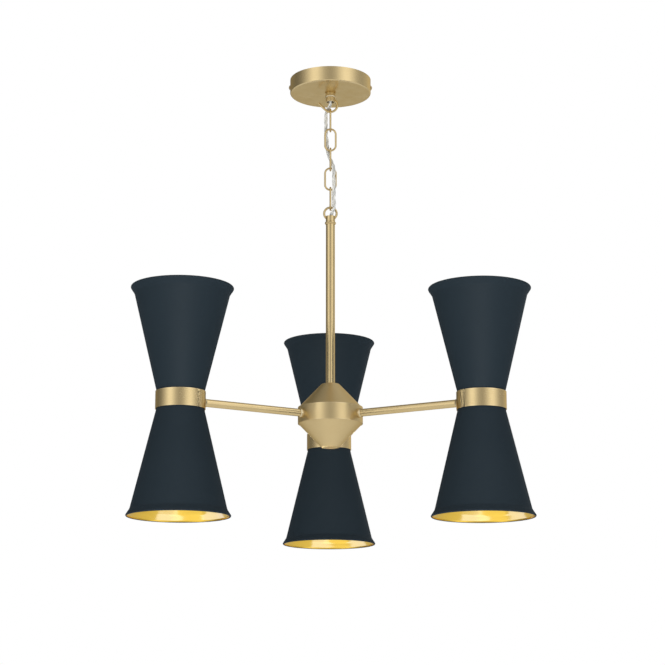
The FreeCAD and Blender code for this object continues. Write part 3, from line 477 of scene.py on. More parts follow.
@dataclass(frozen=True)
class SatinBrass(Finish):
    """Pale brushed brass under a clear lacquer."""

    grain: Grain = Grain.TURNED
    axis: Triple = (0.0, 0.0, 1.0)
    worn_levels: tuple[float, ...] = ()
    colour: Triple = (0.76, 0.598, 0.318)
    deep: Triple = (0.69, 0.523, 0.262)
    rubbed: Triple = (0.86, 0.72, 0.45)
    edge: Triple = (0.8, 0.66, 0.42)
    fineness: float = 2600.0
    matt: float = 0.2
    relief: float = 0.16

    def look(self, graph: Graph, place: Socket) -> Inputs:
        """A cloudy tone under the grain, paler along the worn edges.

        Args:
            graph: The material's graph.
            place: Where its pattern is read.

        Returns:
            The shader's inputs.
        """
        if self.grain is Grain.TURNED:
            grain = self.effect(graph, "turned", Place=place, Fineness=self.fineness)
        elif self.grain is Grain.DRAWN:
            grain = self.effect(graph, "drawn", Place=place, Axis=self.axis, Fineness=self.fineness)
        else:
            grain = graph.noise(place, self.fineness, 2.0, 0.6)
        patina = self.effect(graph, "patina", Place=place)
        lines = graph.spread(grain, (0.25, 0.75), (0.0, 0.4))
        tone = graph.math("MULTIPLY_ADD", patina, 0.4, lines, clamp=True)
        colour = graph.blend(tone, self.colour, self.deep)
        for level in self.worn_levels:
            wear = self.effect(graph, "rim", Place=place, Level=level, Width=WEAR_WIDTH)
            colour = graph.blend(wear, colour, self.rubbed)
        sheen = graph.spread(grain, (0.2, 0.8), (self.matt, self.matt + 0.07))
        return {
            "Base Color": colour,
            "Roughness": graph.math("MULTIPLY_ADD", patina, 0.04, sheen),
            "Metallic": 1.0,
            "Specular Tint": self.edge,
            "Coat Weight": 0.06,
            "Coat Roughness": 0.2,
            "Normal": graph.bump(grain, 0.03 * MM, self.relief),
        }


@dataclass(frozen=True)
class PolishedGold(Finish):
    """The bright gold inside of a shade, with faint spinning rings."""

    lip: float
    colour: Triple = (0.96, 0.64, 0.095)
    deep: Triple = (0.92, 0.59, 0.078)
    # a paler gold painted into the depth of the shade, and the distances from the lip over which it takes
    # over; this is painted light, lifting the dark, saturated reflections of the gold in itself there
    thin: Triple = (0.94, 0.75, 0.37)
    fade: Pair = (0.018, 0.06)

    def look(self, graph: Graph, place: Socket) -> Inputs:
        """Rings and a patina, on gold painted paler away from the lip, as painted light against its dark
        reflections in itself.

        Args:
            graph: The material's graph.
            place: Where its pattern is read.

        Returns:
            The shader's inputs.
        """
        rings = self.effect(graph, "turned", Place=place, Fineness=900.0, Streaks=2.0)
        patina = self.effect(graph, "patina", Place=place, Size=22.0)
        colour = graph.blend(graph.math("MULTIPLY", patina, 0.5), self.colour, self.deep)
        # distance from the lip, over which the gold is painted paler as painted light
        depth = graph.math("ABSOLUTE", graph.math("SUBTRACT", graph.parts(place)[2], self.lip))
        sheen = graph.spread(rings, (0.2, 0.8), (0.1, 0.18))
        return {
            "Base Color": graph.blend(graph.spread(depth, self.fade, (0.0, 1.0)), colour, self.thin),
            "Roughness": graph.math("MULTIPLY_ADD", patina, 0.06, sheen),
            "Metallic": 1.0,
            "Coat Weight": 0.1,
            "Coat Roughness": 0.08,
            "Normal": graph.bump(rings, 0.06 * MM, 0.3),
        }


@dataclass(frozen=True)
class NavyCoat(Finish):
    """Matte navy spray coat with an orange-peel skin and a little wear along the lip."""

    lip: float
    colour: Triple = (0.0192, 0.0305, 0.0402)
    faded: Triple = (0.0212, 0.0326, 0.0424)
    rubbed: Triple = (0.04, 0.047, 0.054)
    dusty: Triple = (0.2, 0.2, 0.19)

    def look(self, graph: Graph, place: Socket) -> Inputs:
        """A patina, the worn lip and a trace of dust over the skin.

        Args:
            graph: The material's graph.
            place: Where its pattern is read.

        Returns:
            The shader's inputs.
        """
        patina = self.effect(graph, "patina", Place=place, Size=18.0)
        wear = self.effect(graph, "rim", Place=place, Level=self.lip, Width=WEAR_WIDTH)
        dust = self.effect(graph, "dust", Place=place, Amount=0.04)
        peel = self.effect(graph, "peel", Place=place)
        colour = graph.blend(patina, self.colour, self.faded)
        colour = graph.blend(graph.math("MULTIPLY", wear, 0.6), colour, self.rubbed)
        skin = graph.spread(peel, (0.3, 1.0), (0.58, 0.65))
        return {
            "Base Color": graph.blend(dust, colour, self.dusty),
            "Roughness": graph.math("MULTIPLY_ADD", patina, 0.05, skin),
            "Specular IOR Level": 0.04,
            "Normal": graph.bump(peel, 0.05 * MM, 0.45),
        }


@dataclass(frozen=True)
class ZincPlate(Finish):
    """Zinc-plated steel of the hidden hardware."""

    colour: Triple = (0.62, 0.63, 0.64)
    dull: Triple = (0.43, 0.45, 0.46)

    def look(self, graph: Graph, place: Socket) -> Inputs:
        """Spangles under a patina.

        Args:
            graph: The material's graph.
            place: Where its pattern is read.

        Returns:
            The shader's inputs.
        """
        cells = graph.make("ShaderNodeTexVoronoi", {"Vector": place, "Scale": 420.0}, "Color")
        spangle = graph.parts(cells)[0]
        patina = graph.math("MULTIPLY", self.effect(graph, "patina", Place=place, Size=60.0), 0.6)
        tone = graph.math("MULTIPLY_ADD", spangle, 0.4, patina, clamp=True)
        return {
            "Base Color": graph.blend(tone, self.colour, self.dull),
            "Roughness": graph.spread(tone, (0.0, 1.0), (0.28, 0.46)),
            "Metallic": 1.0,
            "Normal": graph.bump(spangle, 0.02 * MM, 0.3),
        }


@dataclass(frozen=True)
class Moulding(Finish):
    """Moulded plastic or glazed ceramic: one body colour with a faint mottle."""

    colour: Triple = (0.82, 0.82, 0.79)
    shade: Triple = (0.74, 0.74, 0.7)
    roughness: Pair = (0.39, 0.51)
    gloss: float = 0.0
    texture: float = 700.0

    def look(self, graph: Graph, place: Socket) -> Inputs:
        """A mottle in the body and a fine skin over it.

        Args:
            graph: The material's graph.
            place: Where its pattern is read.

        Returns:
            The shader's inputs.
        """
        patina = self.effect(graph, "patina", Place=place, Size=70.0)
        skin = self.effect(graph, "peel", Place=place, Size=self.texture)
        return {
            "Base Color": graph.blend(patina, self.colour, self.shade),
            "Roughness": graph.spread(skin, (0.3, 1.0), self.roughness),
            "Coat Weight": self.gloss,
            "Coat Roughness": 0.08,
            "Normal": graph.bump(skin, 0.03 * MM, 0.35),
        }


@dataclass(frozen=True)
class OpalGlass(Finish):
    """Opal lamp glass, unlit: milky and glossy, and thinner in clouds."""

    colour: Triple = (0.88, 0.87, 0.83)
    thin: Triple = (0.78, 0.79, 0.78)

    def look(self, graph: Graph, place: Socket) -> Inputs:
        """Soft clouds in the glass.

        Args:
            graph: The material's graph.
            place: Where its pattern is read.

        Returns:
            The shader's inputs.
        """
        return {
            "Base Color": graph.blend(graph.noise(place, 60.0, 3.0), self.colour, self.thin),
            "Roughness": graph.spread(graph.noise(place, 300.0), (0.3, 0.7), (0.08, 0.16)),
            "Transmission Weight": 0.15,
            "IOR": 1.5,
        }


@dataclass(frozen=True)
class FlexSheath(Finish):
    """Clear sheath over tinned strands: pale, silvery, with the strands' lay just showing."""

    pale: Triple = (0.9, 0.88, 0.81)
    silver: Triple = (0.68, 0.69, 0.67)
    strands: float = 9.0
    turns_per_metre: float = 210.0

    def look(self, graph: Graph, place: Socket) -> Inputs:
        """The strands' lay round and along the core, and clouds over it.

        Args:
            graph: The material's graph.
            place: Where its clouds are read.

        Returns:
            The shader's inputs.
        """
        along = graph.attribute("along")
        turns = graph.math("MULTIPLY_ADD", along, self.turns_per_metre, graph.attribute("around"))
        wave = graph.math("SINE", graph.math("MULTIPLY", turns, FULL_TURN * self.strands))
        lay = graph.spread(wave, (-1.0, 1.0), (0.0, 1.0))
        cloud = graph.noise(place, 240.0, 3.0, 0.6)
        haze = graph.spread(cloud, (0.3, 0.7), (0.0, 0.5))
        tone = graph.math("MULTIPLY_ADD", lay, 0.35, haze, clamp=True)
        return {
            "Base Color": graph.blend(tone, self.pale, self.silver),
            "Roughness": graph.spread(cloud, (0.3, 0.7), (0.28, 0.4)),
            "Coat Weight": 0.35,
            "Coat Roughness": 0.18,
            "Normal": graph.bump(lay, 0.04 * MM, 0.4),
        }


@dataclass(frozen=True)
class LeadSheath(Finish):
    """Glossy plastic round a conductor, with a second colour along part of its girth."""

    colour: Triple
    stripe: Triple
    stripe_width: float = 0.2

    def look(self, graph: Graph, place: Socket) -> Inputs:
        """The stripe, dulled by handling.

        Args:
            graph: The material's graph.
            place: Where its pattern is read.

        Returns:
            The shader's inputs.
        """
        off = graph.math("ABSOLUTE", graph.math("SUBTRACT", graph.attribute("around"), 0.5))
        striped = graph.blend(graph.math("LESS_THAN", off, self.stripe_width), self.colour, self.stripe)
        patina = self.effect(graph, "patina", Place=place, Size=90.0)
        skin = self.effect(graph, "peel", Place=place, Size=1600.0)
        return {
            "Base Color": graph.scaled(striped, graph.spread(patina, (0.0, 1.0), (1.0, 0.86))),
            "Roughness": graph.spread(patina, (0.0, 1.0), (0.3, 0.42)),
            "Normal": graph.bump(skin, 0.02 * MM, 0.3),
        }


@contextmanager
def opened(mesh: Mesh) -> Iterator[bmesh.types.BMesh]:
    """Open a mesh for changes, which are kept when it closes.

    Args:
        mesh: The mesh.

    Yields:
        What is changed.
    """
    model = bmesh.new()
    model.from_mesh(mesh)
    yield model
    model.to_mesh(mesh)
    model.free()


def put(name: str, data: bpy.types.ID) -> Piece:
    """Put data in the scene as an object.

    Args:
        name: The object's name.
        data: Its mesh, curve, light or camera.

    Returns:
        The object.
    """
    piece = bpy.data.objects.new(name, data)
    bpy.context.scene.collection.objects.link(piece)
    return piece


def plain_mesh(source: Piece) -> Mesh:
    """What an object's modifiers or its curve make.

    Args:
        source: The object.

    Returns:
        A plain mesh.
    """
    bpy.context.view_layer.update()
    depsgraph = bpy.context.evaluated_depsgraph_get()
    return bpy.data.meshes.new_from_object(source.evaluated_get(depsgraph), depsgraph=depsgraph)


def smooth(mesh: Mesh) -> None:
    """Smooth a mesh between its sharp edges."""
    mesh.polygons.foreach_set("use_smooth", [True] * len(mesh.polygons))
    mesh.set_sharp_from_angle(angle=SMOOTH_ANGLE)


def traced(name: str, points: list[Triple] | list[Vector]) -> Piece:
    """A helper object of points, each joined to the next.

    Args:
        name: Its name.
        points: The points, in metres.

    Returns:
        The object.
    """
    mesh = bpy.data.meshes.new(name)
    mesh.from_pydata(points, list(enumerate(range(1, len(points)))), [])
    return put(name, mesh)


def smooth_line(route_mm: tuple[Triple, ...]) -> list[Vector]:
    """Closely spaced points of the smooth line whose control points are a route's points.

    Args:
        route_mm: The route, in millimetres.

    Returns:
        The line's points, in metres.
    """
    curve = bpy.data.curves.new("flex_route", "CURVE")
    curve.dimensions = "3D"
    spline = curve.splines.new("NURBS")
    spline.points.add(len(route_mm) - 1)
    for point, place in zip(spline.points, route_mm):
        point.co = (*(part * MM for part in place), 1.0)
    spline.order_u = 3
    spline.use_endpoint_u = True
    spline.resolution_u = 14
    holder = put("flex_route", curve)
    mesh = plain_mesh(holder)
    line = [vertex.co.copy() for vertex in mesh.vertices]
    bpy.data.meshes.remove(mesh)
    bpy.data.objects.remove(holder)
    return line


def declare(piece: Piece, body: Body, slot: Slot, node: str) -> None:
    """Let a finished piece ride on its body in place of its CAD node.

    Args:
        piece: The piece.
        body: The body that it moves with.
        slot: The record's slot of its finish; not used.
        node: The CAD node that it stands for.
    """
    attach(piece, body.value)
    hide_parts(node)
    LOG.info("%s rides on %s", piece.name, body.value)


def dress(finish: Finish, *nodes: str) -> Material:
    """Give CAD nodes that stay a finish.

    Args:
        finish: The finish.
        *nodes: Their names.

    Returns:
        Its material.
    """
    material = finish.build()
    for name in nodes:
        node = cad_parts[name]
        if not node.material_slots:
            node.data.materials.append(material)
        for slot in node.material_slots:
            slot.material = material
        LOG.info("%s dressed in %s", name, material.name)
    return material


class Workshop:
    """Turns Geometry Nodes trees into finished plain meshes."""

    kinds: ClassVar[dict[type, str]] = {
        Piece: "NodeSocketObject",
        Material: "NodeSocketMaterial",
        tuple: "NodeSocketVector",
        int: "NodeSocketInt",
        float: "NodeSocketFloat",
    }

    def __init__(self) -> None:
        """Start without trees, since each is built when it is first run."""
        self.trees: dict[str, Tree] = {}

    def _tree(self, shape: Callable[..., Socket], inputs: dict[str, object]) -> Tree:
        """Build a tree that ends in Realize Instances and, where the shape has one finish, Set Material.

        Args:
            shape: Makes the geometry from the graph and the tree's input sockets.
            inputs: A value by each input's name, which tells its kind.

        Returns:
            The tree.
        """
        tree = bpy.data.node_groups.new(shape.__name__, "GeometryNodeTree")
        for name, value in inputs.items():
            kind = next(kind for sort, kind in self.kinds.items() if isinstance(value, sort))
            tree.interface.new_socket(name=name, in_out="INPUT", socket_type=kind)
        tree.interface.new_socket(name="geometry", in_out="OUTPUT", socket_type="NodeSocketGeometry")
        graph = Graph(tree)
        entry = graph.add("NodeGroupInput").outputs
        given = {name: entry[name] for name in inputs if name != "finish"}
        result = graph.make("GeometryNodeRealizeInstances", {0: shape(graph, **given)})
        if "finish" in inputs:
            dressed = {"Geometry": result, "Material": entry["finish"]}
            result = graph.make("GeometryNodeSetMaterial", dressed)
        graph.add("NodeGroupOutput", {"geometry": result})
        return tree

    def run(self, name: str, shape: Callable[..., Socket], sizes: object, **inputs: object) -> Piece:
        """Run a tree and keep its result as a plain, closed and smooth mesh.

        Args:
            name: The finished piece's name.
            shape: What the tree makes, from its graph and its inputs by name.
            sizes: What has the inputs that aren't given among its fields, under the same names.
            **inputs: The other inputs, of which helper objects are removed afterwards.

        Returns:
            The finished object, at the origin and without modifiers.
        """
        _, *titles = signature(shape).parameters
        inputs = {**{title: getattr(sizes, title, None) for title in titles}, **inputs}
        if shape.__name__ not in self.trees:
            self.trees[shape.__name__] = self._tree(shape, inputs)
        host = put("source", bpy.data.meshes.new("source"))
        modifier = host.modifiers.new("shape", "NODES")
        modifier.node_group = self.trees[shape.__name__]
        for item in modifier.node_group.interface.items_tree:
            if item.in_out == "INPUT":
                modifier[item.identifier] = inputs[item.name]
        mesh = plain_mesh(host)
        for helper in (host, *inputs.values()):
            if isinstance(helper, Piece):
                bpy.data.objects.remove(helper)
        mesh.name = name
        # close it and turn its faces outwards
        with opened(mesh) as model:
            bmesh.ops.remove_doubles(model, verts=model.verts, dist=WELD)
            bmesh.ops.holes_fill(model, edges=[edge for edge in model.edges if edge.is_boundary], sides=0)
            bmesh.ops.recalc_face_normals(model, faces=model.faces)
        smooth(mesh)
        return put(name, mesh)

    @staticmethod
    def turned_shell(graph: Graph, outline: Socket, steps: Socket, centre: Socket) -> Socket:
        """A closed outline turned about an upright axis.

        Args:
            graph: The tree's graph.
            outline: The outline's points, with x as the distance from the axis.
            steps: How many sides the turned shape has.
            centre: Where its axis and its height 0 are.

        Returns:
            The shell.
        """
        outline = graph.shape_of(outline)
        count = graph.make("GeometryNodeAttributeDomainSize", {0: outline}, component="MESH")
        rows = graph.math("ADD", count, 1.0)
        columns = graph.math("ADD", steps, 1.0)
        grid = graph.make("GeometryNodeMeshGrid", {"Vertices X": columns, "Vertices Y": rows})
        index = graph.make("GeometryNodeInputIndex")
        column = graph.math("FLOOR", graph.math("DIVIDE", graph.math("ADD", index, 0.5), rows))
        row = graph.math("SUBTRACT", index, graph.math("MULTIPLY", column, rows))
        wrapped = graph.math("FLOOR", graph.math("MODULO", graph.math("ADD", row, 0.25), count))
        inputs = {"Geometry": outline, "Value": graph.make("GeometryNodeInputPosition"), "Index": wrapped}
        point = graph.make("GeometryNodeSampleIndex", inputs, data_type="FLOAT_VECTOR", domain="POINT")
        reach, _, height = graph.parts(point)
        angle = graph.math("MULTIPLY", graph.math("DIVIDE", column, steps), FULL_TURN)
        x, y = (graph.math("MULTIPLY", reach, graph.math(part, angle)) for part in ("COSINE", "SINE"))
        placed = graph.vector("ADD", graph.combined(x, y, height), centre)
        shell = graph.make("GeometryNodeSetPosition", {"Geometry": grid, "Position": placed})
        return graph.make("GeometryNodeMergeByDistance", {"Geometry": shell, "Distance": WELD})

    @staticmethod
    def slotted_screws(
        graph: Graph, blank: Socket, count: Socket, first: Socket, step: Socket, turn: Socket,
        turn_step: Socket, head_top: Socket, slot_width: Socket, slot_depth: Socket, slot_length: Socket,
        seed: Socket, most_spin: Socket,
    ) -> Socket:
        """A row of screws, each a turned blank along +X with a driver slot cut across its head.

        Args:
            graph: The tree's graph.
            blank: The turned blank.
            count: How many screws there are.
            first: The first one's place.
            step: From each one to the next.
            turn: The first one's turn.
            turn_step: What each next one turns further.
            head_top: The head's height.
            slot_width: The slot's width.
            slot_depth: The slot's depth.
            slot_length: The length of the bar that cuts it.
            seed: The seed of the slots' directions.
            most_spin: The most that a slot is turned either way.

        Returns:
            The row.
        """
        size = graph.combined(graph.math("MULTIPLY", slot_depth, 2.0), slot_length, slot_width)
        bar = graph.moved(graph.block(size), graph.combined(head_top, 0.0, 0.0))
        screw = graph.joined("DIFFERENCE", {"Mesh 1": graph.shape_of(blank), "Mesh 2": bar})
        index = graph.make("GeometryNodeInputIndex")
        placed = graph.make("GeometryNodeInstanceOnPoints", {
            "Points": graph.row(count, first, step),
            "Instance": screw,
            "Rotation": graph.vector("ADD", turn, graph.scaled(turn_step, index)),
        })
        limits = {"Min": graph.math("MULTIPLY", most_spin, -1.0), "Max": most_spin, "Seed": seed}
        spin = graph.combined(graph.make("FunctionNodeRandomValue", limits, data_type="FLOAT"), 0.0, 0.0)
        return graph.make("GeometryNodeRotateInstances", {"Instances": placed, "Rotation": spin})


@dataclass(frozen=True)
class Lamp:
    """A soft light: where it stands as seen from what it lights, and how large and bright its face is."""

    name: str
    bearing: float
    rise: float
    distance: float
    width: float
    height: float
    radiance: float
    tint: Triple = WHITE

    def build(self, centre: Vector) -> Piece:
        """Build the light.

        Args:
            centre: What it points at.

        Returns:
            The light, which the camera doesn't see.
        """
        data = bpy.data.lights.new(self.name, "AREA")
        data.shape = "RECTANGLE"
        data.size = self.width
        data.size_y = self.height
        data.color = self.tint
        # an area lamp's face is as bright as its power over four times its area
        data.energy = 4.0 * self.width * self.height * self.radiance
        light = put(self.name, data)
        turn, rise = math.radians(self.bearing), math.radians(self.rise)
        way = Vector((math.sin(turn) * math.cos(rise), -math.cos(turn) * math.cos(rise), math.sin(rise)))
        light.location = centre + way * self.distance
        light.rotation_mode = "QUATERNION"
        light.rotation_quaternion = (-way).to_track_quat("-Z", "Y")
        light.visible_camera = False
        return light


@dataclass
class Studio:
    """The camera at the photograph's angle, soft light, and a pale floor far below the hanging lamp."""

    eye: Triple = (-0.0198, -2.3545, -0.8818)
    pitch: float = math.radians(12.646)
    heading: float = 0.0096
    sensor: float = 36.0
    focal_px: float = 1819.4
    frame_px: float = 665.0
    clip: Pair = (0.05, 60.0)
    aim: Triple = (0.0, 0.0, -0.4)
    ambient: float = 0.44
    floor_z: float = -3.05
    floor_radius: float = 16.0
    floor_colours: tuple[Triple, Triple] = ((0.86, 0.86, 0.85), (0.82, 0.82, 0.81))
    # how far off the floor starts to fade for the eye and is white, and its white at the start
    floor_fade: Pair = (1.2, 3.6)
    floor_white: float = 0.35
    # share of white that metal sees in the floor, far in front of the lamp and far behind it
    floor_glow: Pair = (0.7, 0.25)
    floor_far: float = 7.0
    wall_radius: float = 4.6
    wall_foot: float = -1.35
    wall_top: float = 2.6
    wall_sides: int = 144
    disc_sides: int = 96
    # brightness of the studio's walls about the lamp, by bearing from the camera's side, left negative
    wall: tuple[Pair, ...] = (
        (-180.0, 0.42), (-143.0, 0.3), (-114.0, 0.2), (-95.0, 0.26), (-79.0, 0.46), (-65.0, 0.78),
        (-52.0, 1.2), (-39.0, 1.2), (-27.0, 0.84), (-16.0, 0.54), (0.0, 0.42), (13.0, 0.54), (27.0, 0.9),
        (40.0, 1.2), (52.0, 1.18), (66.0, 0.84), (80.0, 0.52), (98.0, 0.42), (117.0, 0.54), (145.0, 0.8),
        (180.0, 0.46),
    )
    # brightness of its ceiling at the far left and the far right, and what its front corners add
    roof: Pair = (0.13, 0.56)
    roof_corners: float = 0.7
    # how far aside the corners start and are full, and how far in front they are full and end
    roof_aside: Pair = (0.5, 1.9)
    roof_front: Pair = (-0.4, 0.8)
    # lights that reach cloth, paint and plastic, whose faces metal doesn't show
    softboxes: tuple[Lamp, ...] = (
        Lamp("softbox_left", -43.0, 0.0, 3.5, 1.7, 5.4, 0.68),
        Lamp("softbox_right", 45.0, 0.0, 3.5, 1.7, 5.4, 0.62),
        Lamp("floor_bounce", 0.0, -50.0, 2.6, 2.0, 1.4, 3.4),
        Lamp("softbox_back", 180.0, 5.0, 3.5, 3.0, 5.0, 0.7),
    )
    # cards that only the gold linings show, each as a block, two of them cool
    cards: tuple[Lamp, ...] = (
        Lamp("card_right", 27.0, -44.0, 2.4, 2.2, 2.1, 2.5, (0.1, 0.16, 1.0)),
        Lamp("card_left", -98.0, -30.0, 2.4, 2.6, 1.6, 2.5, (0.1, 0.16, 1.0)),
        Lamp("card_front", -25.0, -40.0, 2.4, 3.2, 1.9, 0.22),
    )
    mouth_level: float = -0.61
    # a strip low in front, which only glances off the navy coats
    strip: Lamp = Lamp("front_strip", 0.0, -14.0, 3.0, 1.2, 1.0, 34.0)
    # faint fills, each for the one piece of brass that mirrors a dark shade there
    fills: tuple[tuple[str, Lamp], ...] = (
        ("hub_band", Lamp("fill_band_left", -68.0, 10.0, 3.0, 1.0, 2.4, 0.38)),
        ("hub_band", Lamp("fill_band_right", 65.0, 10.0, 3.0, 0.85, 2.4, 0.47)),
        ("hub_lower_cone", Lamp("fill_hub_foot", 180.0, -12.0, 3.0, 1.4, 1.4, 0.75)),
        ("collar_left", Lamp("fill_collar_left", 95.0, 10.0, 3.0, 1.2, 2.4, 0.29)),
        ("collar_right", Lamp("fill_collar_right", -100.0, 10.0, 3.0, 1.4, 2.4, 0.31)),
    )

    def build(self) -> None:
        """Build everything that isn't the lamp."""
        self._camera()
        self._world()
        self._floor()
        self._walls()
        self._roof()
        for lamp in self.softboxes:
            lamp.build(Vector(self.aim)).visible_glossy = False
        bpy.context.scene.view_settings.view_transform = "Standard"

    def _camera(self) -> None:
        """The camera."""
        data = bpy.data.cameras.new("camera")
        data.sensor_width = self.sensor
        data.lens = self.sensor * self.focal_px / self.frame_px
        data.dof.use_dof = False
        data.clip_start, data.clip_end = self.clip
        camera = put("camera", data)
        level = math.cos(self.pitch)
        look = Vector((math.sin(self.heading) * level, math.cos(self.heading) * level, math.sin(self.pitch)))
        camera.location = self.eye
        camera.rotation_mode = "QUATERNION"
        camera.rotation_quaternion = look.to_track_quat("-Z", "Y")
        bpy.context.scene.camera = camera

    def _world(self) -> None:
        """White to the eye and in reflections, and a plain soft light otherwise."""
        world = bpy.data.worlds.new("studio")
        bpy.context.scene.world = world
        world.use_nodes = True
        graph = Graph(world.node_tree)
        rays = graph.add("ShaderNodeLightPath").outputs
        seen = graph.math("MAXIMUM", rays["Is Camera Ray"], rays["Is Glossy Ray"])
        seen = graph.math("MAXIMUM", seen, rays["Is Transmission Ray"])
        strength = graph.spread(seen, (0.0, 1.0), (self.ambient, 1.0))
        graph.feed(world.node_tree.nodes["Background"], {"Color": WHITE, "Strength": strength})

    def _disc(self, name: str, radius: float, level: float) -> Piece:
        """A flat disc.

        Args:
            name: Its name.
            radius: Its radius.
            level: Its height.

        Returns:
            The disc.
        """
        disc = put(name, bpy.data.meshes.new(name))
        with opened(disc.data) as model:
            bmesh.ops.create_circle(model, cap_ends=True, segments=self.disc_sides, radius=radius)
            bmesh.ops.translate(model, verts=model.verts, vec=(0.0, 0.0, level))
        return disc

    def _floor(self) -> None:
        """Pale floor that keeps the lamp's shadow and fades to white far off."""
        floor = self._disc("floor", self.floor_radius, self.floor_z)
        material, graph, shader = new_material("pale_floor")
        place = graph.place()
        mottle = graph.noise(place, 3.0, 5.0, 0.55)
        graph.feed(shader, {
            "Base Color": graph.blend(mottle, *self.floor_colours),
            "Roughness": graph.spread(mottle, (0.3, 0.7), (0.75, 0.85)),
            "Specular IOR Level": 0.2,
        })
        rays = graph.add("ShaderNodeLightPath").outputs
        away = graph.vector("LENGTH", graph.vector("MULTIPLY", place, (1.0, 1.0, 0.0)))
        white = graph.spread(away, self.floor_fade, (self.floor_white, 1.0))
        glossy = graph.spread(graph.parts(place)[1], (-self.floor_far, self.floor_far), self.floor_glow)
        seen = graph.math("MULTIPLY", white, rays["Is Camera Ray"])
        mirrored = graph.math("MULTIPLY", glossy, rays["Is Glossy Ray"])
        share = graph.math("MAXIMUM", graph.math("MAXIMUM", seen, mirrored), rays["Is Transmission Ray"])
        glow = graph.make("ShaderNodeEmission")
        mixed = graph.make("ShaderNodeMixShader", {0: share, 1: shader.outputs[0], 2: glow})
        graph.feed(material.node_tree.nodes["Material Output"], {"Surface": mixed})
        floor.data.materials.append(material)
        floor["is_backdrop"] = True

    def _walls(self) -> None:
        """The dim studio round the lamp, which only its metal shows."""
        walls = put("studio_walls", bpy.data.meshes.new("studio_walls"))
        radius = self.wall_radius
        with opened(walls.data) as model:
            bmesh.ops.create_cone(model, segments=self.wall_sides, radius1=radius, radius2=radius, depth=1.0)
            for vertex in model.verts:
                vertex.co.z = self.wall_top if vertex.co.z > 0 else self.wall_foot
        material, graph, _ = new_material("studio_walls")
        x, y, _ = graph.parts(graph.place())
        # bearing from the camera's side, as a share of the full turn
        turn = graph.math("ARCTAN2", x, graph.math("MULTIPLY", y, -1.0))
        share = graph.math("MULTIPLY_ADD", turn, 1 / FULL_TURN, 0.5)
        ramp = graph.add("ShaderNodeValToRGB", {0: share})
        ramp.color_ramp.interpolation = "EASE"
        elements = ramp.color_ramp.elements
        while len(elements) < len(self.wall):
            elements.new(0.5)
        for element, (bearing, _) in zip(elements, self.wall):
            element.position = bearing / 360.0 + 0.5
        for element, (_, value) in zip(elements, self.wall):
            element.color = (value, value, value, 1.0)
        self._glow_only(walls, material, graph, ramp.outputs["Color"])

    def _roof(self) -> None:
        """The studio's ceiling, brighter to the right and in its front corners."""
        lid = self._disc("studio_roof", self.wall_radius, self.wall_top)
        material, graph, _ = new_material("studio_roof")
        sideways, depth, _ = graph.parts(graph.place())
        reach = self.roof_aside[1]
        across = graph.spread(sideways, (-reach, reach), self.roof)
        off = graph.math("ABSOLUTE", sideways)
        aside = graph.spread(off, self.roof_aside, (0.0, self.roof_corners))
        in_front = graph.spread(depth, self.roof_front, (1.0, 0.0))
        value = graph.math("MULTIPLY_ADD", aside, in_front, across)
        self._glow_only(lid, material, graph, graph.combined(value, value, value))

    @staticmethod
    def _glow_only(card: Piece, material: Material, graph: Graph, colour: Socket) -> None:
        """Make a card that shows in reflections and nowhere else.

        Args:
            card: The card.
            material: Its material.
            graph: The material's graph.
            colour: Its brightness.
        """
        glow = graph.make("ShaderNodeEmission", {"Color": colour})
        graph.feed(material.node_tree.nodes["Material Output"], {"Surface": glow})
        card.data.materials.append(material)
        for rays in ("camera", "diffuse", "transmission", "shadow", "volume_scatter"):
            setattr(card, f"visible_{rays}", False)
        card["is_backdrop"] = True

    def light_shades(self, heads: list["Head"]) -> None:
        """Set the cards for the gold linings alone, and the glancing strip for the coats alone.

        Args:
            heads: The finished heads.
        """
        gilt = bpy.data.collections.new("gold_linings")
        coated = bpy.data.collections.new("navy_shells")
        for head in heads:
            for lining in head.linings:
                gilt.objects.link(lining)
            for shell in head.shells:
                coated.objects.link(shell)
        for card in self.cards:
            card.build(Vector((0.0, 0.0, self.mouth_level))).light_linking.receiver_collection = gilt
        strip = self.strip.build(Vector(self.aim))
        strip.visible_diffuse = False
        strip.light_linking.receiver_collection = coated

    def light_brass(self) -> None:
        """Set each fill for its one piece, past whatever stands between them."""
        for name, lamp in self.fills:
            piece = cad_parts[name]
            alone = bpy.data.collections.new(lamp.name)
            alone.objects.link(piece)
            corners = [Vector(corner) for corner in piece.bound_box]
            light = lamp.build(sum(corners, Vector()) / len(corners))
            light.visible_diffuse = False
            # without this a mirrored ray stops at the shade between them
            light.data.cycles.use_multiple_importance_sampling = False
            light.light_linking.receiver_collection = alone
            light.light_linking.blocker_collection = alone


